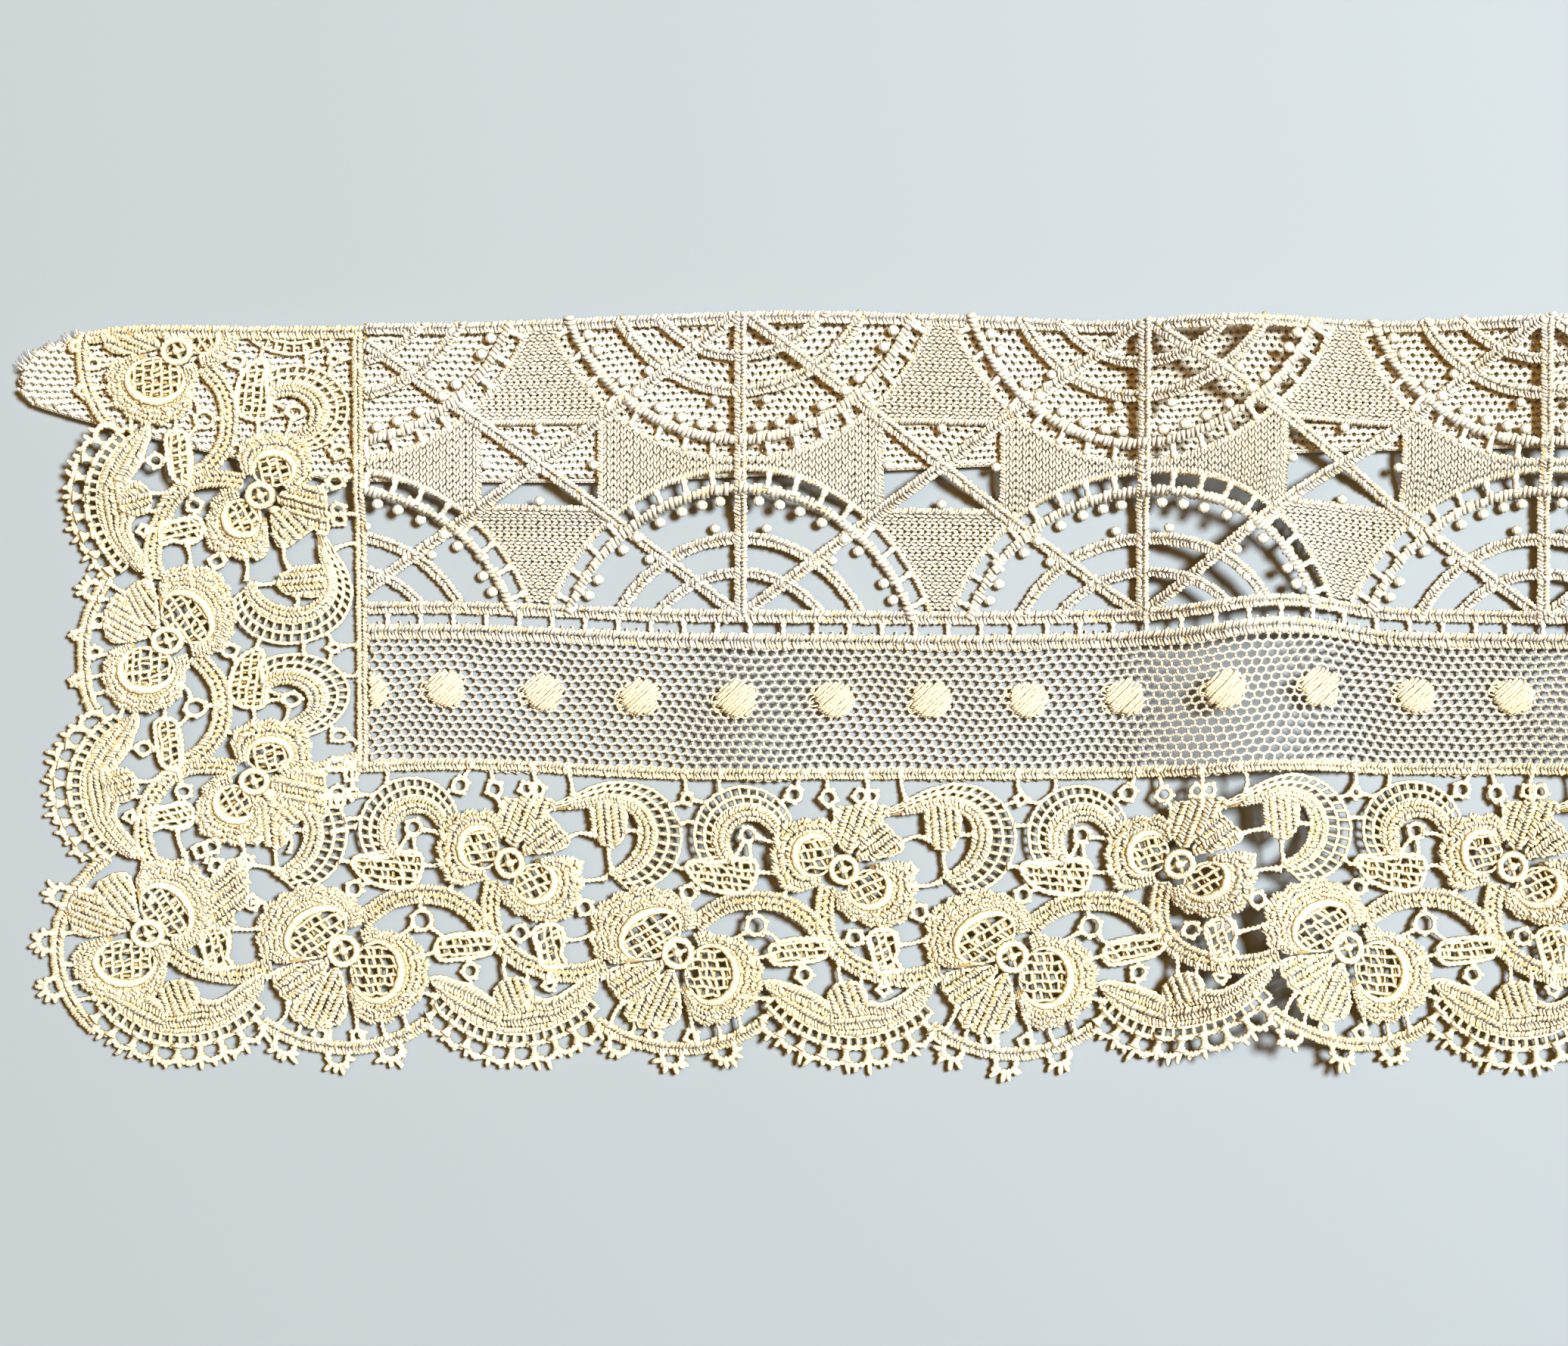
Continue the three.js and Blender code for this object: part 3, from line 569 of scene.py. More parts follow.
def stub(lace, start, end, radius):
    """A short picot with a blunt end."""
    line = np.array([start, start + 0.7 * (end - start), end])
    lace.openwork.add(shaken(line, 2), np.array([1, 1.05, 0.65]) * radius, height=0.5, sides=5)


# Petals: the open oval's middle, half length, half width and tilt, then the outer edge as angles
# and radii about the hub. Lobes are solid: angles and radii.
FLOWER_A = dict(
    hub=(0, 23.7),
    reach=1.72,
    petals=[
        ((-3.3, 21.5), 3.9, 2.7, -31,
         [(56, 4.3), (75, 6.3), (100, 7.9), (124, 9.7), (150, 11.4), (168, 11.1), (182, 10.4), (191, 7.4),
          (193, 4.8)]),
        ((4.1, 26.3), 3.1, 3.5, 0,
         [(50, 3.6), (20, 6.2), (10, 8.7), (-8, 10.6), (-27, 11.4), (-45, 10.9), (-61, 10.1), (-77, 8.6),
          (-85, 4.6)]),
    ],
    lobes=[
        [(212, 2.4), (198, 5), (195, 8.7), (202, 9.5), (212, 9.5), (222, 9.2), (230, 8),
         (230, 5.5), (225, 3.5)],
        [(250, 2.4), (235, 4), (231, 7.2), (228, 9.5), (231, 10.4), (240, 10.4), (251, 10.2), (262, 9.3),
         (271, 8), (270, 4.5)],
    ],
)
FLOWER_B = dict(
    hub=(21.1, 13),
    reach=1.6,
    petals=[
        ((17.4, 11.3), 2.3, 2.5, -10,
         [(100, 4), (105, 6.2), (128, 8), (147, 9.7), (168, 9.3), (184, 8.8), (200, 7.7), (208, 6),
          (214, 3.4)]),
        ((24.2, 15.3), 2.5, 2.2, -25,
         [(12, 3.6), (9, 6.8), (3, 8.7), (-14, 9.4), (-32, 9.9), (-50, 9.2), (-66, 7.4), (-92, 5.4),
          (-110, 3.4)]),
    ],
    lobes=[
        [(38, 2.3), (20, 4.6), (18, 7.5), (25, 8.2), (36, 7.8), (46, 7.8), (55, 7.6), (56, 5.2), (52, 3.6)],
        [(82, 2.3), (61, 4), (56, 7), (52, 9.3), (57, 9.6), (67, 8.5), (80, 8), (97, 7.6), (101, 4.6)],
    ],
)

STEM_1 = [(2.4, 20), (5, 18.1), (7.5, 17.1), (10.3, 16.9), (13.2, 17.3), (15.4, 18.4),
          (17.1, 19.8), (18.3, 21.5)]
STEM_2 = [(19.1, 15.3), (18.7, 17.3), (18.7, 19.5), (19.1, 21.5), (20.5, 23.5), (22.8, 25.1), (25.6, 26.1),
          (28.8, 26.5), (31.6, 26.1), (33.2, 25.4)]
STEM_TAIL = [(17.6, 22.7)] + STEM_2[4:]

LONG_LEAF = [(1.1, 12.7), (2.1, 11.9), (4.1, 12.2), (6.4, 11.9), (8.6, 11.6), (10, 12.4), (9.5, 15.2),
             (7.5, 16.1), (4.6, 15.7), (2.4, 14.6)]
BUD_LEAF = [(11.7, 23.1), (13.1, 22.2), (16, 21.8), (19.1, 22.2), (18.5, 24.2), (14.3, 25),
            (12.1, 24.9)]
SIDE_LEAF = [(24.2, 21.5), (25.6, 20.5), (27.6, 20.8), (28, 22.5), (27.7, 24.2), (28.3, 25.6),
             (25.3, 25.7), (24.9, 24.2)]

# Bars of one repeat: from u, v to u, v.
BARS = [
    (1, 0.6, 1.2, 4.1), (1.2, 4.1, -1.2, 5), (1.2, 4.1, 3.9, 4.6), (0.2, 7.3, 2.4, 7.3),
    (5.5, 0.6, 5.5, 3.3),
    (16.3, 0.6, 14.8, 3.5), (14.8, 3.5, 12.9, 4.7), (18.5, 0.6, 19.2, 3.9), (19.2, 3.9, 20.1, 5.9),
    (23.9, 0.6, 24, 5.9), (28.4, 0.6, 29.2, 4.4), (8.9, 8.6, 13.1, 9.8), (8.9, 8.6, 6.8, 11.9),
    (8.9, 8.6, 9.2, 11.9), (9.8, 13.2, 12.9, 13.2), (13.4, 16.6, 14.5, 14.8), (-0.6, 12.4, 1.4, 12.9),
    (1.4, 16, 3.2, 15.2), (1.4, 16, 0, 17), (9.7, 17.2, 10, 20.1), (10, 20.1, 6.3, 22.2),
    (10, 20.1, 12.9, 22.4), (12, 23.9, 9, 24.6), (16.1, 26.4, 16, 28.6), (16.1, 26.4, 16, 24.5),
    (22.5, 21.6, 19.4, 22.4), (22.5, 21.6, 24.5, 21.6), (27.8, 22.4, 32, 21.4), (28, 9.9, 32, 9),
    (29.4, 14.8, 33.6, 14.3), (30.7, 18.2, 28.4, 17.3), (30.7, 18.2, 33.2, 18.9), (-6.8, 8.3, -4.9, 8.4),
    (-8.7, 10.2, -8.4, 13.4), (8.4, 29.2, 11.8, 29.6), (26.2, 27.9, 26.3, 26.4), (-9.9, 27, -8.2, 26.4),
    (20.6, 24.4, 20.8, 27.6), (23.4, 26, 23.2, 28),
]
# Rings on those bars: u, v, reach.
BAR_RINGS = [
    (1.2, 4.1, 0.64), (14.8, 3.5, 0.92), (19.2, 3.9, 0.92), (23.2, 3.7, 0.77), (24.7, 3.7, 0.77),
    (8.9, 8.6, 0.92),
    (1.4, 16, 0.92), (10, 20.1, 1.22), (16.1, 26.4, 0.92), (22.5, 21.6, 0.92), (26.2, 28, 0.7),
    (29.4, 13, 0.77), (30.7, 18.2, 0.92), (-3, 34.2, 0.77), (1.8, 34.4, 0.77),
]

SCROLL_OUTER = [(-15.8, 5.4), (-13.2, 4.2), (-10.5, 2.9), (-7, 2.2), (-3.4, 3), (-0.8, 5.2), (0.4, 8.4),
                (-0.1, 11.6), (-1.7, 14), (-4, 15.4), (-6.3, 15.7)]
SCROLL_INNER = [(-15.6, 6.2), (-13.4, 6), (-11.6, 5.7), (-9.8, 5.2), (-7.6, 5.3), (-5.9, 6.3),
                (-5.1, 8.1), (-5.4, 10), (-6.3, 11.6), (-7.5, 12.7), (-8.8, 13.5)]
BUD = [(-10.6, 5.2), (-10.9, 7.2), (-10.3, 9.3), (-8.8, 10.4), (-7.3, 9.7), (-6.7, 7.8), (-6.9, 5.6)]
SCALLOP_BARS = [(-8.6, -6.9, 29.9), (-6, -5.3, 32), (-1.9, -2.2, 32.4), (2.6, 1.6, 30.8),
                (5.6, 5, 31.7), (8.2, 7.5, 31.1)]
LEAF_MIDDLE = (22, 22)
LEAF_LEFT = [(10.9, 27.3), (12.3, 27.1), (14.3, 27.7), (16, 28.2), (18, 29.3), (19.5, 30.5)]
LEAF_RIGHT = [(19.5, 30.5), (21, 30.2), (22.8, 29.8), (24.3, 29.5), (25.9, 29.9), (27.9, 29.1),
              (29.6, 27.9), (31.4, 26.8), (32.3, 26.4)]
LEAF_BUD = [(19.7, 31), (19.2, 29.2), (20.1, 27.7), (21.9, 27.2), (23.4, 27.8), (24, 29.3),
            (23, 30.9)]
SCALLOP_MIDDLE = (0.3, 17.9)
SCALLOP_RADIUS = 18
PICOT_PLACES = [-7.2, -0.7, 5.8]
# A picot's loop, along the scallop and out from it, and the angles of its tuft.
PICOT_LOOP = [(-1.3, 0), (-1.25, 1), (-0.75, 1.75), (0.75, 1.75), (1.25, 1), (1.3, 0)]
PICOT_TURNS = (-82, -50, -18, 14, 47, 80)
# Deep scallop, from its middle: leaf's edge, ladder, loops and picots.
LEAF_EDGE = 12.1
LEAF_LADDER = (12.15, 13.55)
LOOPS = 8
LOOP_POINTS = 8
LOOP_FOOT = 15.15
LOOP_DEPTH = 0.7
PICOT_FOOT = 15.5
PICOT_TIP = 16.7


def petal(lace, hub, centre, long, wide, tilt, edge_rows):
    """An oval of open mesh in a crescent, and rows of stitches out to the edge."""
    edge = smooth(polar(hub, edge_rows))
    lumps = 0.75 * np.abs(np.sin(np.pi * np.arange(len(edge)) * STEP / LUMP)) - 0.25
    edge = edge + lumps[:, None] * unit(edge - hub)
    away = edge - centre
    along = direction(tilt)
    reach = np.minimum(1, 1 / np.hypot(away @ along / long, away @ left_of(along) / wide))
    inner = centre + away * reach[:, None]
    fill(lace, edge, inner + 0.14 * (edge - inner))
    cord(lace, inner + 0.06 * (edge - inner), CRESCENT_RADII, CRESCENT_HEIGHTS, bead=0.6, swell=0.03)
    loop = oval(centre, long, wide, tilt)
    cord(lace, loop, 0.22, 0.6, bead=0.8, closed=True)
    open_mesh(lace, loop, tilt)


def lobe(lace, points, angle):
    edge = smooth(points, closed=True)
    lines = hatch(edge, angle, FILL_ROW)
    for number, line in enumerate(lines):
        height = 0.65 + 0.3 * np.sin(np.pi * (number + 0.5) / len(lines))
        solid_row(lace, line, FILL_ROW, height, number)
    cord(lace, edge, 0.28, 0.55, swell=0.2, closed=True)


def flower(lace, hub, reach, petals, lobes):
    """Petals and lobes round a ring with a crossed middle."""
    for shape in petals:
        petal(lace, hub, *shape)
    for edge_rows in lobes:
        edge = polar(hub, edge_rows)
        way = edge.mean(axis=0) - hub
        lobe(lace, edge, np.degrees(np.arctan2(*way[::-1])))
    ring(lace, hub, reach, radius=0.5, height=0.85, bead=0.6)
    for turn in (20, 110):
        thread(lace, polar(hub, [(turn, reach), (turn + 180, reach)]), 0.27, 0.6)
    ball(lace, hub, 0.62, 0.75)


def outer_scroll(lace):
    """The scroll that opens to the right."""
    outer = arc((8.4, 8.6), (6.3, 6.1), -17, -222)
    inner = arc((9.3, 9.5), (2.7, 2.6), -25, -240)
    scroll(lace, outer, inner, (0, 0.27, 0.5))


def inner_scroll(lace, first=0):
    """The scroll round a hanging bud. At the corner it starts later."""
    scroll(lace, smooth(SCROLL_OUTER[first:]), smooth(SCROLL_INNER[first:]), (0, 0.29, 0.56))
    lobe(lace, BUD, 85)


def leaf(lace, points, angle):
    loop = smooth(points, closed=True)
    cord(lace, loop, 0.38, 0.62, closed=True)
    open_mesh(lace, loop, angle, pitch=0.98, radius=0.26)


def stems(lace, lines=(STEM_1, STEM_2)):
    for line in lines:
        stem(lace, smooth(line))


def bars(lace):
    """The bars of one repeat, which end at their rings."""
    rings = {(u, v): reach for u, v, reach in BAR_RINGS}
    for ends in BARS:
        start, end = ends[:2], ends[2:]
        way = unit(np.subtract(end, start))
        bar(lace, start + rings.get(start, 0) * way, end - rings.get(end, 0) * way)
    for u, v, reach in BAR_RINGS:
        picot_ring(lace, (u, v), reach)


def leaf_scallop(lace):
    """The deep scallop: a solid leaf and bud, a ladder, and loops with picots."""
    for start, end, inner in ((147, 101, LEAF_LEFT), (101, 33, LEAF_RIGHT)):
        fill(lace, arc(LEAF_MIDDLE, LEAF_EDGE, start, end), smooth(inner))
    for inner in (LEAF_LEFT, LEAF_RIGHT[3:]):
        cord(lace, smooth(inner), 0.28, 0.65)
    lobe(lace, LEAF_BUD, 70)
    near, far = [arc(LEAF_MIDDLE, reach, 143, 40) for reach in LEAF_LADDER]
    rungs(lace, near, far, pitch=1.3, radius=0.29)
    cord(lace, near, 0.26, 0.6)
    cord(lace, far, 0.4, 0.6, swell=0.25)
    turns = np.linspace(138, 47, LOOPS * LOOP_POINTS + 1)
    swell = np.abs(np.sin(np.pi * LOOPS * np.linspace(0, 1, len(turns))))
    edge = LEAF_MIDDLE + (LOOP_FOOT + LOOP_DEPTH * swell)[:, None] * direction(turns)
    cord(lace, edge, 0.44, 0.55, swell=0.22)
    for turn in turns[::LOOP_POINTS]:
        post = LEAF_MIDDLE + np.outer([13.3, 14.3, 15.3], direction(turn))
        cord(lace, post, [1, 0.6, 0.42, 0.6, 1], [0.85, 0.6, 0.85], bead=0.5, swell=0.06)
    for turn in np.linspace(136, 48.5, LOOPS * 2 + 1):
        lean = turn + np.degrees(0.022 * noise())
        tip = (PICOT_TIP + 0.3 * noise()) * direction(lean)
        stub(lace, LEAF_MIDDLE + PICOT_FOOT * direction(turn), LEAF_MIDDLE + tip, 0.36)


def scallop_point(u, out=0):
    drop = np.sqrt((SCALLOP_RADIUS + out) ** 2 - (u - SCALLOP_MIDDLE[0]) ** 2)
    return joined(u, SCALLOP_MIDDLE[1] + drop)


def flower_scallop(lace, start=-10.1, end=10.2, sizes=(1, 1, 1)):
    """The shallow scallop under a flower, with bars to its petals and three picots."""
    tape(lace, scallop_point(np.linspace(start, end, 50)), 1.65)
    for place, u, v in SCALLOP_BARS:
        bar(lace, scallop_point(place, -0.3), (u, v))
    for place, size in zip(PICOT_PLACES, sizes):
        picot(lace, place, size)


def picot(lace, place, size):
    """A loop out from the scallop, with a tuft of short picots."""
    foot = scallop_point(place, 0.4)
    out = unit(foot - SCALLOP_MIDDLE)
    along = left_of(out)
    line = smooth([foot + size * (a * along + b * out) for a, b in PICOT_LOOP])
    cord(lace, line, 0.35 + 0.1 * size, 0.55, swell=0.25)
    for turn in PICOT_TURNS:
        turn += 7 * noise()
        way = direction(turn) @ [out, along]
        root = foot + size * (out + 0.95 * way)
        length = size * (1.1 + 0.3 * noise())
        stub(lace, root, root + length * way, 0.28 + 0.12 * size)


flower_a = partial(flower, **FLOWER_A)
flower_b = partial(flower, **FLOWER_B)
corner_scroll = partial(inner_scroll, first=2)
long_leaf = partial(leaf, points=LONG_LEAF, angle=6)
bud_leaf = partial(leaf, points=BUD_LEAF, angle=-4)
side_leaf = partial(leaf, points=SIDE_LEAF, angle=75)
stem_tail = partial(stems, lines=[STEM_TAIL])
# The side's middle picots are small.
side_scallop = partial(flower_scallop, sizes=(0.9, 0.5, 0.5))
WHOLE_REPEAT = [
    flower_a, flower_b, outer_scroll, inner_scroll, long_leaf, bud_leaf, side_leaf, stems, bars,
    leaf_scallop, flower_scallop,
]
LOWER_REPEATS = {
    -1: [leaf_scallop, stem_tail, side_leaf],
    0: [corner_scroll if motif is inner_scroll else motif for motif in WHOLE_REPEAT],
    1: WHOLE_REPEAT, 2: WHOLE_REPEAT, 3: WHOLE_REPEAT,
    4: [flower_a, inner_scroll, flower_scallop],
}
SIDE_REPEAT = [side_scallop if motif is flower_scallop else motif for motif in WHOLE_REPEAT]
SIDE_REPEATS = {-1: SIDE_REPEAT, 0: SIDE_REPEAT}

# Where the borders meet at the corner, on the plan.
CORNER_PATCH = [(-19, -14), (-16.6, -12), (-14.9, -13.3), (-14.9, -17.4), (-16.6, -18.7),
                (-16.6, -20.7), (-19, -20.7), (-21, -19.7), (-20.3, -17)]
CORNER_RINGS = [(-20.7, -10.8), (-18.6, -12.8), (-14.9, -12.3), (-14.1, -17.5), (-1.6, -1.8)]
CORNER_BARS = [(-14.9, -12.6, -10.9, -13.5), (-14.4, -17.4, -12.2, -17.6), (-16.6, -20.7, -12.9, -20.7),
               (-22.65, -11.2, -22.6, -13.6)]
CORNER_BAND = [(-0.8, 0.1), (-4.5, -0.6), (-8.5, -1.6), (-11.5, -2.4)]
SIDE_TOP = [(-34.6, 54.2), (-29, 54.9), (-20, 54.9), (-12, 54.8), (-0.2, 54.9)]


def lower_place(line, start):
    return joined(LOWER_START + start + line[:, 0], -SEAM / 2 - line[:, 1])


def side_place(line, start=REPEAT, shift=(0, 0)):
    """Places on the side border. At the corner a shift pulls them out."""
    u, v = start + line[:, 0], line[:, 1]
    v = v - np.interp(v, NEAR_V, NEARER)
    v = v - np.interp(v, DRAWN_V, [0, 1]) * np.interp(u, SIDE_U, DRAWN_IN)
    v = v * np.interp(u, SIDE_U, SIDE_WIDER)
    return joined(-SEAM / 2 - v, SIDE_START - SIDE_SHORTER * u) + shift


def border(drape, keep, repeats, placing, heading):
    lace = Lace(drape, keep)
    for repeat, motifs in repeats.items():
        lace.place(partial(placing, start=repeat * REPEAT))
        for motif in motifs:
            motif(lace)
    lace.place(None)
    tape(lace, heading, 1.35, 0.8)
    return lace


def lower_border():
    heading = [(-0.4, -1.05), (CUT_END, -1.05)]
    return border(draped, lambda plan: plan[:, 0] < CUT_END, LOWER_REPEATS, lower_place, heading)


def side_border():
    heading = [(-0.6, TOP_EDGE), (-0.1, -1.3)]
    lace = border(draped_high, lambda plan: plan[:, 1] < TOP_EDGE - 1.1, SIDE_REPEATS, side_place, heading)
    lace.place(partial(side_place, shift=(-2.4, -0.9)))
    flower_a(lace)
    lace.place(partial(side_place, shift=(-1.2, -2.6)))
    flower_scallop(lace, -13.3, 12.2)
    lace.place(None)
    lobe(lace, CORNER_PATCH, 40)
    for centre in CORNER_RINGS:
        picot_ring(lace, centre, reach=0.83)
    for ends in CORNER_BARS:
        bar(lace, ends[:2], ends[2:])
    tape(lace, smooth(CORNER_BAND), 1.7)
    for threads in vars(lace).values():
        threads.keep = None
    tape(lace, smooth(SIDE_TOP), 1.6, 0.8)
    return lace


def wheel_arc(hub, radius):
    """An arc of a half wheel, from heading line to heading line."""
    foot = np.degrees(np.arcsin(WHEEL_SINK / radius))
    return arc((hub, HEADING - WHEEL_SINK), radius, 180 - foot, foot)


def both(line):
    """A line of the lower wheels, and its mirror in the upper ones."""
    return line, line * (1, -1) + (0, 2 * MIDLINE)


def half_wheel(lace, hub):
    """Double arcs, a thick cord with knots, and a row of slots."""
    for radius, width in INNER_ARCS:
        for line in both(wheel_arc(hub, radius)):
            tape(lace, line, width, 0.8)
    thick = wheel_arc(hub, THICK_ARC)
    lumps = 1.15 + 0.22 * np.sin(2 * np.pi * np.arange(len(thick)) * STEP / LUMP)
    for line in both(thick):
        row(lace, line, lumps, 0.9, pitch=0.6, radius=0.36, lean=0.3)
    for line in both(wheel_arc(hub, RIM_ARC)):
        edge_row(lace, line, 0.75, 0.6)
    centre = (hub, HEADING - WHEEL_SINK)
    foot = np.degrees(np.arcsin(WHEEL_SINK / SLOT_MIDDLE))
    for turn in np.linspace(foot + 4, 176 - foot, 17):
        for line in both(centre + np.outer([23.5, 24.5, 25.6], direction(turn))):
            cord(lace, line, [0.55, 0.42, 0.55], 0.6, bead=0.8, swell=0.12)
    for reach, radius, height, turns in WHEEL_KNOTS:
        for turn in turns:
            for knot in both(centre + reach * direction(turn)):
                ball(lace, knot, radius, height)


def knit_row(lace, start, end):
    """A row of knit stitches, two legs each."""
    way = np.subtract(end, start)
    count = max(1, round(norm(way) / KNIT_LENGTH))
    ahead = way / count
    beside = unit(left_of(ahead)) * KNIT_SPREAD
    roots = shaken(start + np.outer(np.arange(count), ahead), 0.7)
    for side in (-beside, beside):
        knee = roots + 0.55 * ahead + 0.8 * side
        legs = np.stack([roots + 0.12 * side, knee, roots + ahead + side], axis=1)
        lace.openwork.add_many(legs, radius=[0.16, 0.225, 0.16], height=[0.5, 0.66, 0.5])


def crossing(lace, middle):
    """Four knit triangles round a crossing of spokes, and knots."""
    half_pitch = WHEEL_PITCH / 2
    slope = (MIDLINE - HEADING) / half_pitch
    sunk = HEADING - WHEEL_SINK
    for level in np.arange(MIDLINE - 5.7, HEADING + 0.6, -ROW):
        room = half_pitch - np.sqrt(KNIT_RIM**2 - (level - sunk) ** 2)
        half = min((MIDLINE - level) / slope, room) - KNIT_INSET
        if half > 0.4:
            for y in (level, 2 * MIDLINE - level):
                knit_row(lace, (middle - half, y), (middle + half, y))
    for reach in np.arange(8.1, half_pitch - 0.6, ROW):
        room = MIDLINE - sunk - np.sqrt(KNIT_RIM**2 - (half_pitch - reach) ** 2)
        half = max(0.85, min(reach * slope, room) - KNIT_INSET)
        for x in (middle - reach, middle + reach):
            knit_row(lace, (x, MIDLINE - half), (x, MIDLINE + half))
    for sign in (-1, 1):
        level = MIDLINE + sign * 5.3
        side = middle + sign * 7.7
        edge_row(lace, [(middle - 7.3, level), (middle + 7.3, level)], 0.7, 0.62)
        edge_row(lace, [(side, MIDLINE - 5.2), (side, MIDLINE + 5.2)], 0.7, 0.62)
        for knot in ((middle, level - sign * KNOT_INSET), (side - sign * KNOT_INSET, MIDLINE)):
            ball(lace, knot, 0.65, 0.75)


def in_insertion(plan):
    x, y = plan.T
    return (x > SEAM / 2) & (x < CUT_END) & (y > NET_TOP - 0.2) & (y < TOP_EDGE + 0.2)


def wheel_insertion():
    lace = Lace(draped_high, in_insertion)
    hubs = FIRST_WHEEL + WHEEL_PITCH * np.arange(WHEELS)
    low, high = HEADING, 2 * MIDLINE - HEADING
    for hub in hubs:
        half_wheel(lace, hub)
        crossing(lace, hub + WHEEL_PITCH / 2)
        tape(lace, [(hub, low), (hub, high)], 1.55, 0.9)
        tape(lace, [(hub, low), (hub + WHEEL_PITCH, high)], 1.45, 0.85)
        tape(lace, [(hub, high), (hub + WHEEL_PITCH, low)], 1.45, 0.8)
    crossing(lace, hubs[0] - WHEEL_PITCH / 2)

    def long_tape(level, width, height):
        tape(lace, [(SEAM / 2 + 0.1, level), (CUT_END, level)], width, height)

    long_tape(HEADING, 1.55, 0.85)
    long_tape(FOOT_LINE, 2.05, 0.85)
    for x in np.arange(3, CUT_END, LADDER_PITCH):
        cord(lace, [(x, 17.5), (x, 19.4)], [0.45, 0.36, 0.45], 0.6, bead=0.75, swell=0.2)
    long_tape(TOP_EDGE - 0.7, 1.4, 0.7)
    return lace


def net(threads, left, right, bottom, top, cell, radius, height, slope=0.36):
    """An even net of six-sided meshes: zigzag threads with short links."""
    across, up = cell
    rise = slope * up
    columns = np.arange(int((right - left) / (across / 2)) + 1)
    for number in range(int((top - bottom) / up) + 1):
        even = (columns + number) % 2 == 0
        swing = np.where(even, rise / 2, -rise / 2)
        line = shaken(joined(left + across / 2 * columns, bottom + number * up + swing), 0.4)
        threads.add(line, radius, height, sides=3)
        for start in line[even]:
            threads.add([start, start + (0, up - rise)], radius * 0.95, height, sides=3)


def pulled(plan):
    """The net is drawn a little out of true."""
    x, y = plan.T
    along = 0.34 * np.sin(0.42 * y + 0.16 * x) + 0.14 * np.sin(0.9 * y - 0.37 * x)
    up = 0.16 * np.sin(0.21 * x + 0.6) + 0.12 * np.sin(0.57 * x - 0.35 * y)
    return joined(x + along, y + up)


def dotted_net():
    """The net band, and a strip of net under each of its seams."""
    left, right = SEAM / 2, CUT_END
    threads = Threads(draped, lambda plan: (plan[:, 0] > left) & (plan[:, 0] < right), PLY)
    threads.place = pulled
    net(threads, left - 0.5, right + 0.5, -0.5, NET_TOP + 0.6, NET_CELL, radius=0.245, height=0.7)
    net(threads, left, right, NET_TOP + 1.6, NET_TOP + 2.1, NET_CELL, radius=0.2, height=0.2)
    net(threads, left, right, -1.6, -1.5, (NET_CELL[0], 0.9), radius=0.2, height=0.2)
    return threads


def net_dots():
    """Padded satin dots with a few loose loops. The seam cuts the first."""
    threads = Threads(draped, lambda plan: plan[:, 0] > CUT_DOT, PLY)
    along = direction(45)
    across = left_of(along)
    share = np.linspace(-1, 1, 9)
    for x in [CUT_DOT] + [FIRST_DOT + DOT_PITCH * dot for dot in range(DOTS)]:
        middle = (x, DOT_LINE)
        for place in np.linspace(-0.94, 0.94, 12):
            half = DOT_RADIUS * np.sqrt(1 - place**2) + 0.22 * noise()
            line = shaken(middle + place * DOT_RADIUS * across + np.outer(share * half, along))
            dome = np.sqrt(np.maximum(0, 1 - place**2 - (share * half / DOT_RADIUS) ** 2))
            height = 0.7 + 0.5 * dome + 0.12 * noise()
            threads.add(line, 0.24, height, sides=6)
        for _ in range(2):
            turn = -rng.uniform(115, 185)
            foot = polar(middle, [(turn, 2.2), (turn - 18, 3.1), (turn - 34, 3.2), (turn - 40, 2.2)])
            threads.add(smooth(foot, 0.3), radius=0.14, height=0.8)
    return threads


def flat_on_table(x, y):
    """The strip lies flat, and its top edge follows the lace."""
    fold = backing_fold(x)
    share = np.clip((y - fold) / (backing_top(x) - fold), 0, 1)
    return x, y + sway(x, y) * share, np.zeros_like(x)


def net_backing():
    """A strip of finer net folded along its lower edge, with a frayed end."""
    def inside(plan):
        x, y = plan.T
        return (x > left) & (x < CUT_END) & (y > backing_fold(x) + 0.5) & (y < backing_top(x))

    def add_fold(x, angle):
        """A thread round the fold at one place, or along it at one angle."""
        way = reach * direction(angle)
        y = backing_fold(x) + 0.75 + way[..., 0]
        line = joined(*np.broadcast_arrays(x, y))
        threads.add(line, 0.15, (high + low) / 2 + way[..., 1])

    left = BACKING_X[0]
    low, high = 1.05, 1.8
    cell = (1.1, 0.84)
    reach = (high - low) / 2
    threads = Threads(flat_on_table, inside, PLY)
    threads.place = pulled
    for across, up, radius, height in ((0, 0, 0.25, low), (0.55, 0.42, 0.37, high)):
        net(threads, left + across, CUT_END, 35 + up, TOP_EDGE, cell, radius, height, slope=0.5)
    threads.keep = threads.place = None
    for x in np.arange(left + 0.2, CUT_END, 0.6):
        add_fold(x, np.linspace(-90, -270, 6))
    for angle in (-120, -180, -240):
        add_fold(np.arange(left + 0.2, CUT_END, 1.5), angle)
    for x in np.arange(left + 0.1, BACKING_X[2], 0.3):
        root = (x + 0.6, backing_top(x + 0.6) - 0.6)
        way = (-0.75, 0.65) + 0.25 * noise(2)
        line = root + np.outer([0, 0.7, 1.15 + 0.25 * noise()], way)
        threads.add(line, [0.14, 0.12, 0.08], [high, high - 0.1, high - 0.5])
    return threads
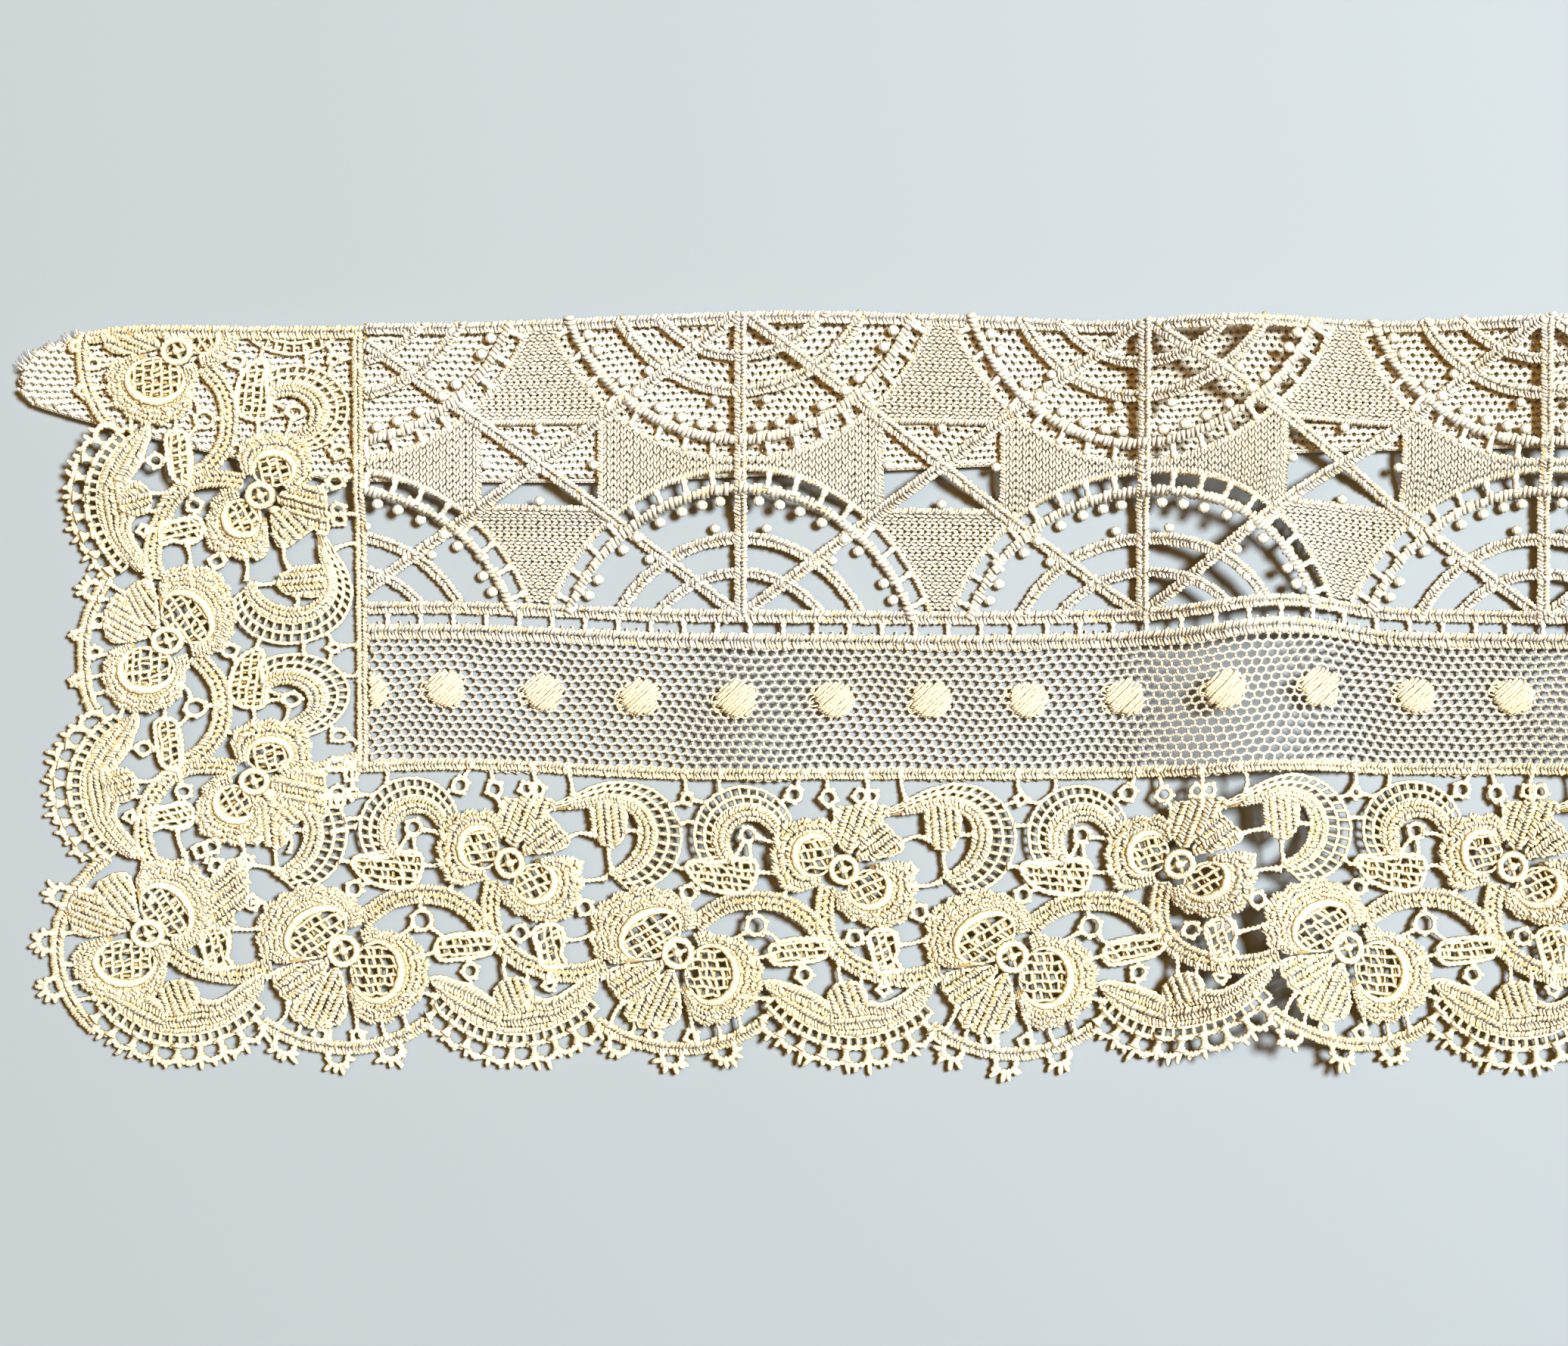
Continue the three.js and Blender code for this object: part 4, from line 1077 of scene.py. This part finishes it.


# Colours of a thread where it faces up, beside that, at its sides and below: painted shade, darker away from
# the top.
COTTONS = {
    # The ground's colours are darker and more golden than its threads: painted shade in the gaps between
    # stitches.
    "ground_cotton_painted_shade": ((0.76, 0.6, 0.31), (0.66, 0.5, 0.23), (0.48, 0.32, 0.1), (0.25, 0.13, 0.03)),
    "aged_cotton": ((0.92, 0.9, 0.79), (0.88, 0.83, 0.62), (0.68, 0.53, 0.19), (0.28, 0.14, 0.02)),
    "pale_cotton": ((0.87, 0.87, 0.83), (0.81, 0.8, 0.73), (0.67, 0.6, 0.42), (0.33, 0.21, 0.07)),
    "fine_cotton": ((0.83, 0.81, 0.75), (0.77, 0.74, 0.67), (0.54, 0.47, 0.34), (0.33, 0.25, 0.13)),
    "satin_cotton": ((0.93, 0.88, 0.72), (0.87, 0.79, 0.58), (0.66, 0.5, 0.24), (0.36, 0.24, 0.09)),
    "folded_cotton": ((1, 0.98, 0.9), (1, 0.96, 0.85), (0.96, 0.89, 0.72), (0.8, 0.68, 0.46)),
}
STITCH_TURN = 6.2832
TWIST_TURN = 12.566


def cotton(name, light, mid, painted_side_shade, painted_underside_shade):
    """Aged cotton with twisted plies, and painted shade: pale where it faces up, golden at its sides, dark
    below.
    """
    material = bpy.data.materials.new(name)
    material.use_nodes = True
    nodes, links = material.node_tree.nodes, material.node_tree.links
    shader = nodes["Principled BSDF"]
    shader.inputs["Roughness"].default_value = 0.82
    shader.inputs["Specular IOR Level"].default_value = 0.25
    shader.inputs["Sheen Weight"].default_value = 0.15
    shader.inputs["Sheen Roughness"].default_value = 0.5

    def math(operation, *values):
        node = nodes.new("ShaderNodeMath")
        node.operation = operation
        for socket, value in zip(node.inputs, values):
            if isinstance(value, (int, float)):
                socket.default_value = value
            else:
                links.new(value, socket)
        return node.outputs["Value"]

    def ramp(value, first, last, *between):
        node = nodes.new("ShaderNodeValToRGB")
        stops = node.color_ramp.elements
        for stop, (place, colour) in zip(stops, (first, last)):
            stop.position = place
            stop.color = (*colour, 1)
        for place, colour in between:
            stops.new(place).color = (*colour, 1)
        links.new(value, node.inputs["Fac"])
        return node.outputs["Color"]

    uv = nodes.new("ShaderNodeUVMap")
    uv.uv_map = "thread"
    parts = nodes.new("ShaderNodeSeparateXYZ")
    links.new(uv.outputs["UV"], parts.inputs["Vector"])
    along, around = parts.outputs["X"], parts.outputs["Y"]

    # Painted shade: the colour runs from the thread's pale top round to its dark underside.
    away = math("MULTIPLY", math("ABSOLUTE", math("SUBTRACT", around, 0.5)), 2)
    # Painted shade in the necks between stitches, where the colour turns towards gold.
    stitch = math("COSINE", math("MULTIPLY", along, STITCH_TURN))
    painted_neck_shade = math("MULTIPLY", math("SUBTRACT", 1, stitch), 0.09)
    painted_facing_shade = ramp(math("ADD", away, painted_neck_shade), (0.10, light), (0.85, painted_underside_shade), (0.30, mid), (0.52, painted_side_shade))

    coordinates = nodes.new("ShaderNodeTexCoord")
    age = nodes.new("ShaderNodeTexNoise")
    age.inputs["Scale"].default_value = 55.0
    age.inputs["Detail"].default_value = 4.0
    links.new(coordinates.outputs["Object"], age.inputs["Vector"])
    tint = ramp(age.outputs["Fac"], (0.3, (0.92, 0.88, 0.77)), (0.7, (1, 1, 1)))
    aged = nodes.new("ShaderNodeMix")
    aged.data_type = "RGBA"
    aged.blend_type = "MULTIPLY"
    aged.inputs["Factor"].default_value = 1.0
    links.new(painted_facing_shade, aged.inputs["A"])
    links.new(tint, aged.inputs["B"])
    links.new(aged.outputs["Result"], shader.inputs["Base Color"])

    slant = math("ADD", math("MULTIPLY", along, TWIST_TURN), math("MULTIPLY", around, TWIST_TURN))
    twist = nodes.new("ShaderNodeBump")
    twist.inputs["Strength"].default_value = 0.35
    twist.inputs["Distance"].default_value = 0.00006
    links.new(math("SINE", slant), twist.inputs["Height"])
    links.new(twist.outputs["Normal"], shader.inputs["Normal"])
    return material


materials = {name: cotton(name, *colours) for name, colours in COTTONS.items()}


def add_piece(name, threads, node, material):
    piece = threads.build(name)
    piece.data.materials.append(materials[material])
    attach(piece, "root")
    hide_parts(node)


# All three laces are drawn before the nets, so that the random draws keep their order.
laces = {"lower_border": lower_border(), "side_border": side_border(), "wheel_insertion": wheel_insertion()}
for node, lace in laces.items():
    plain = "pale_cotton" if node == "wheel_insertion" else "aged_cotton"
    for part, threads in vars(lace).items():
        # The ground takes the darker colours, which paint the shade between stitches.
        yarn = "ground_cotton_painted_shade" if part == "ground" else plain
        add_piece(f"{node}_{part}", threads, node, yarn)
add_piece("dotted_net_mesh", dotted_net(), "dotted_net", "fine_cotton")
add_piece("net_dots", net_dots(), "dotted_net", "satin_cotton")
add_piece("net_backing_mesh", net_backing(), "net_backing", "folded_cotton")


bpy.ops.mesh.primitive_plane_add(size=3, location=(0, 0, -0.0001))
floor = bpy.context.object
floor.name = "floor"
material = bpy.data.materials.new("pale_table")
material.use_nodes = True
shader = material.node_tree.nodes["Principled BSDF"]
shader.inputs["Base Color"].default_value = (0.339, 0.382, 0.417, 1)
shader.inputs["Roughness"].default_value = 0.6
floor.data.materials.append(material)


def add_light(name, place, size, power, colour):
    """A soft square light that points at the lace."""
    lamp = bpy.data.lights.new(name, "AREA")
    lamp.size = size
    lamp.energy = power
    lamp.color = colour
    light = bpy.data.objects.new(name, lamp)
    light.location = place
    light.rotation_euler = (-mathutils.Vector(place)).to_track_quat("-Z", "Y").to_euler()
    scene.collection.objects.link(light)


add_light("key", (1.25, 0.5875, 2.75), 0.65, 172, (0.92, 0.985, 1))
add_light("fill", (-0.20, 0.10, 0.90), 0.9, 2.5, (1, 0.42, 0.03))
scene.world = scene.world or bpy.data.worlds.new("studio")
scene.world.use_nodes = True
background = scene.world.node_tree.nodes["Background"]
background.inputs["Color"].default_value = (1, 0.5, 0.1, 1)
background.inputs["Strength"].default_value = 0.04
scene.view_settings.view_transform = "Standard"

# The camera looks straight down at the middle of the photo.
PHOTO_MIDDLE = (53.5, 11.7, 0)
PHOTO_WIDTH = 0.2
lens = bpy.data.cameras.new("camera")
lens.sensor_width = 36
lens.lens = 85
scene.camera = bpy.data.objects.new("camera", lens)
scene.camera.location = (PHOTO_MIDDLE + PLAN_SHIFT) * MM
scene.camera.location.z = PHOTO_WIDTH * lens.lens / lens.sensor_width
scene.collection.objects.link(scene.camera)
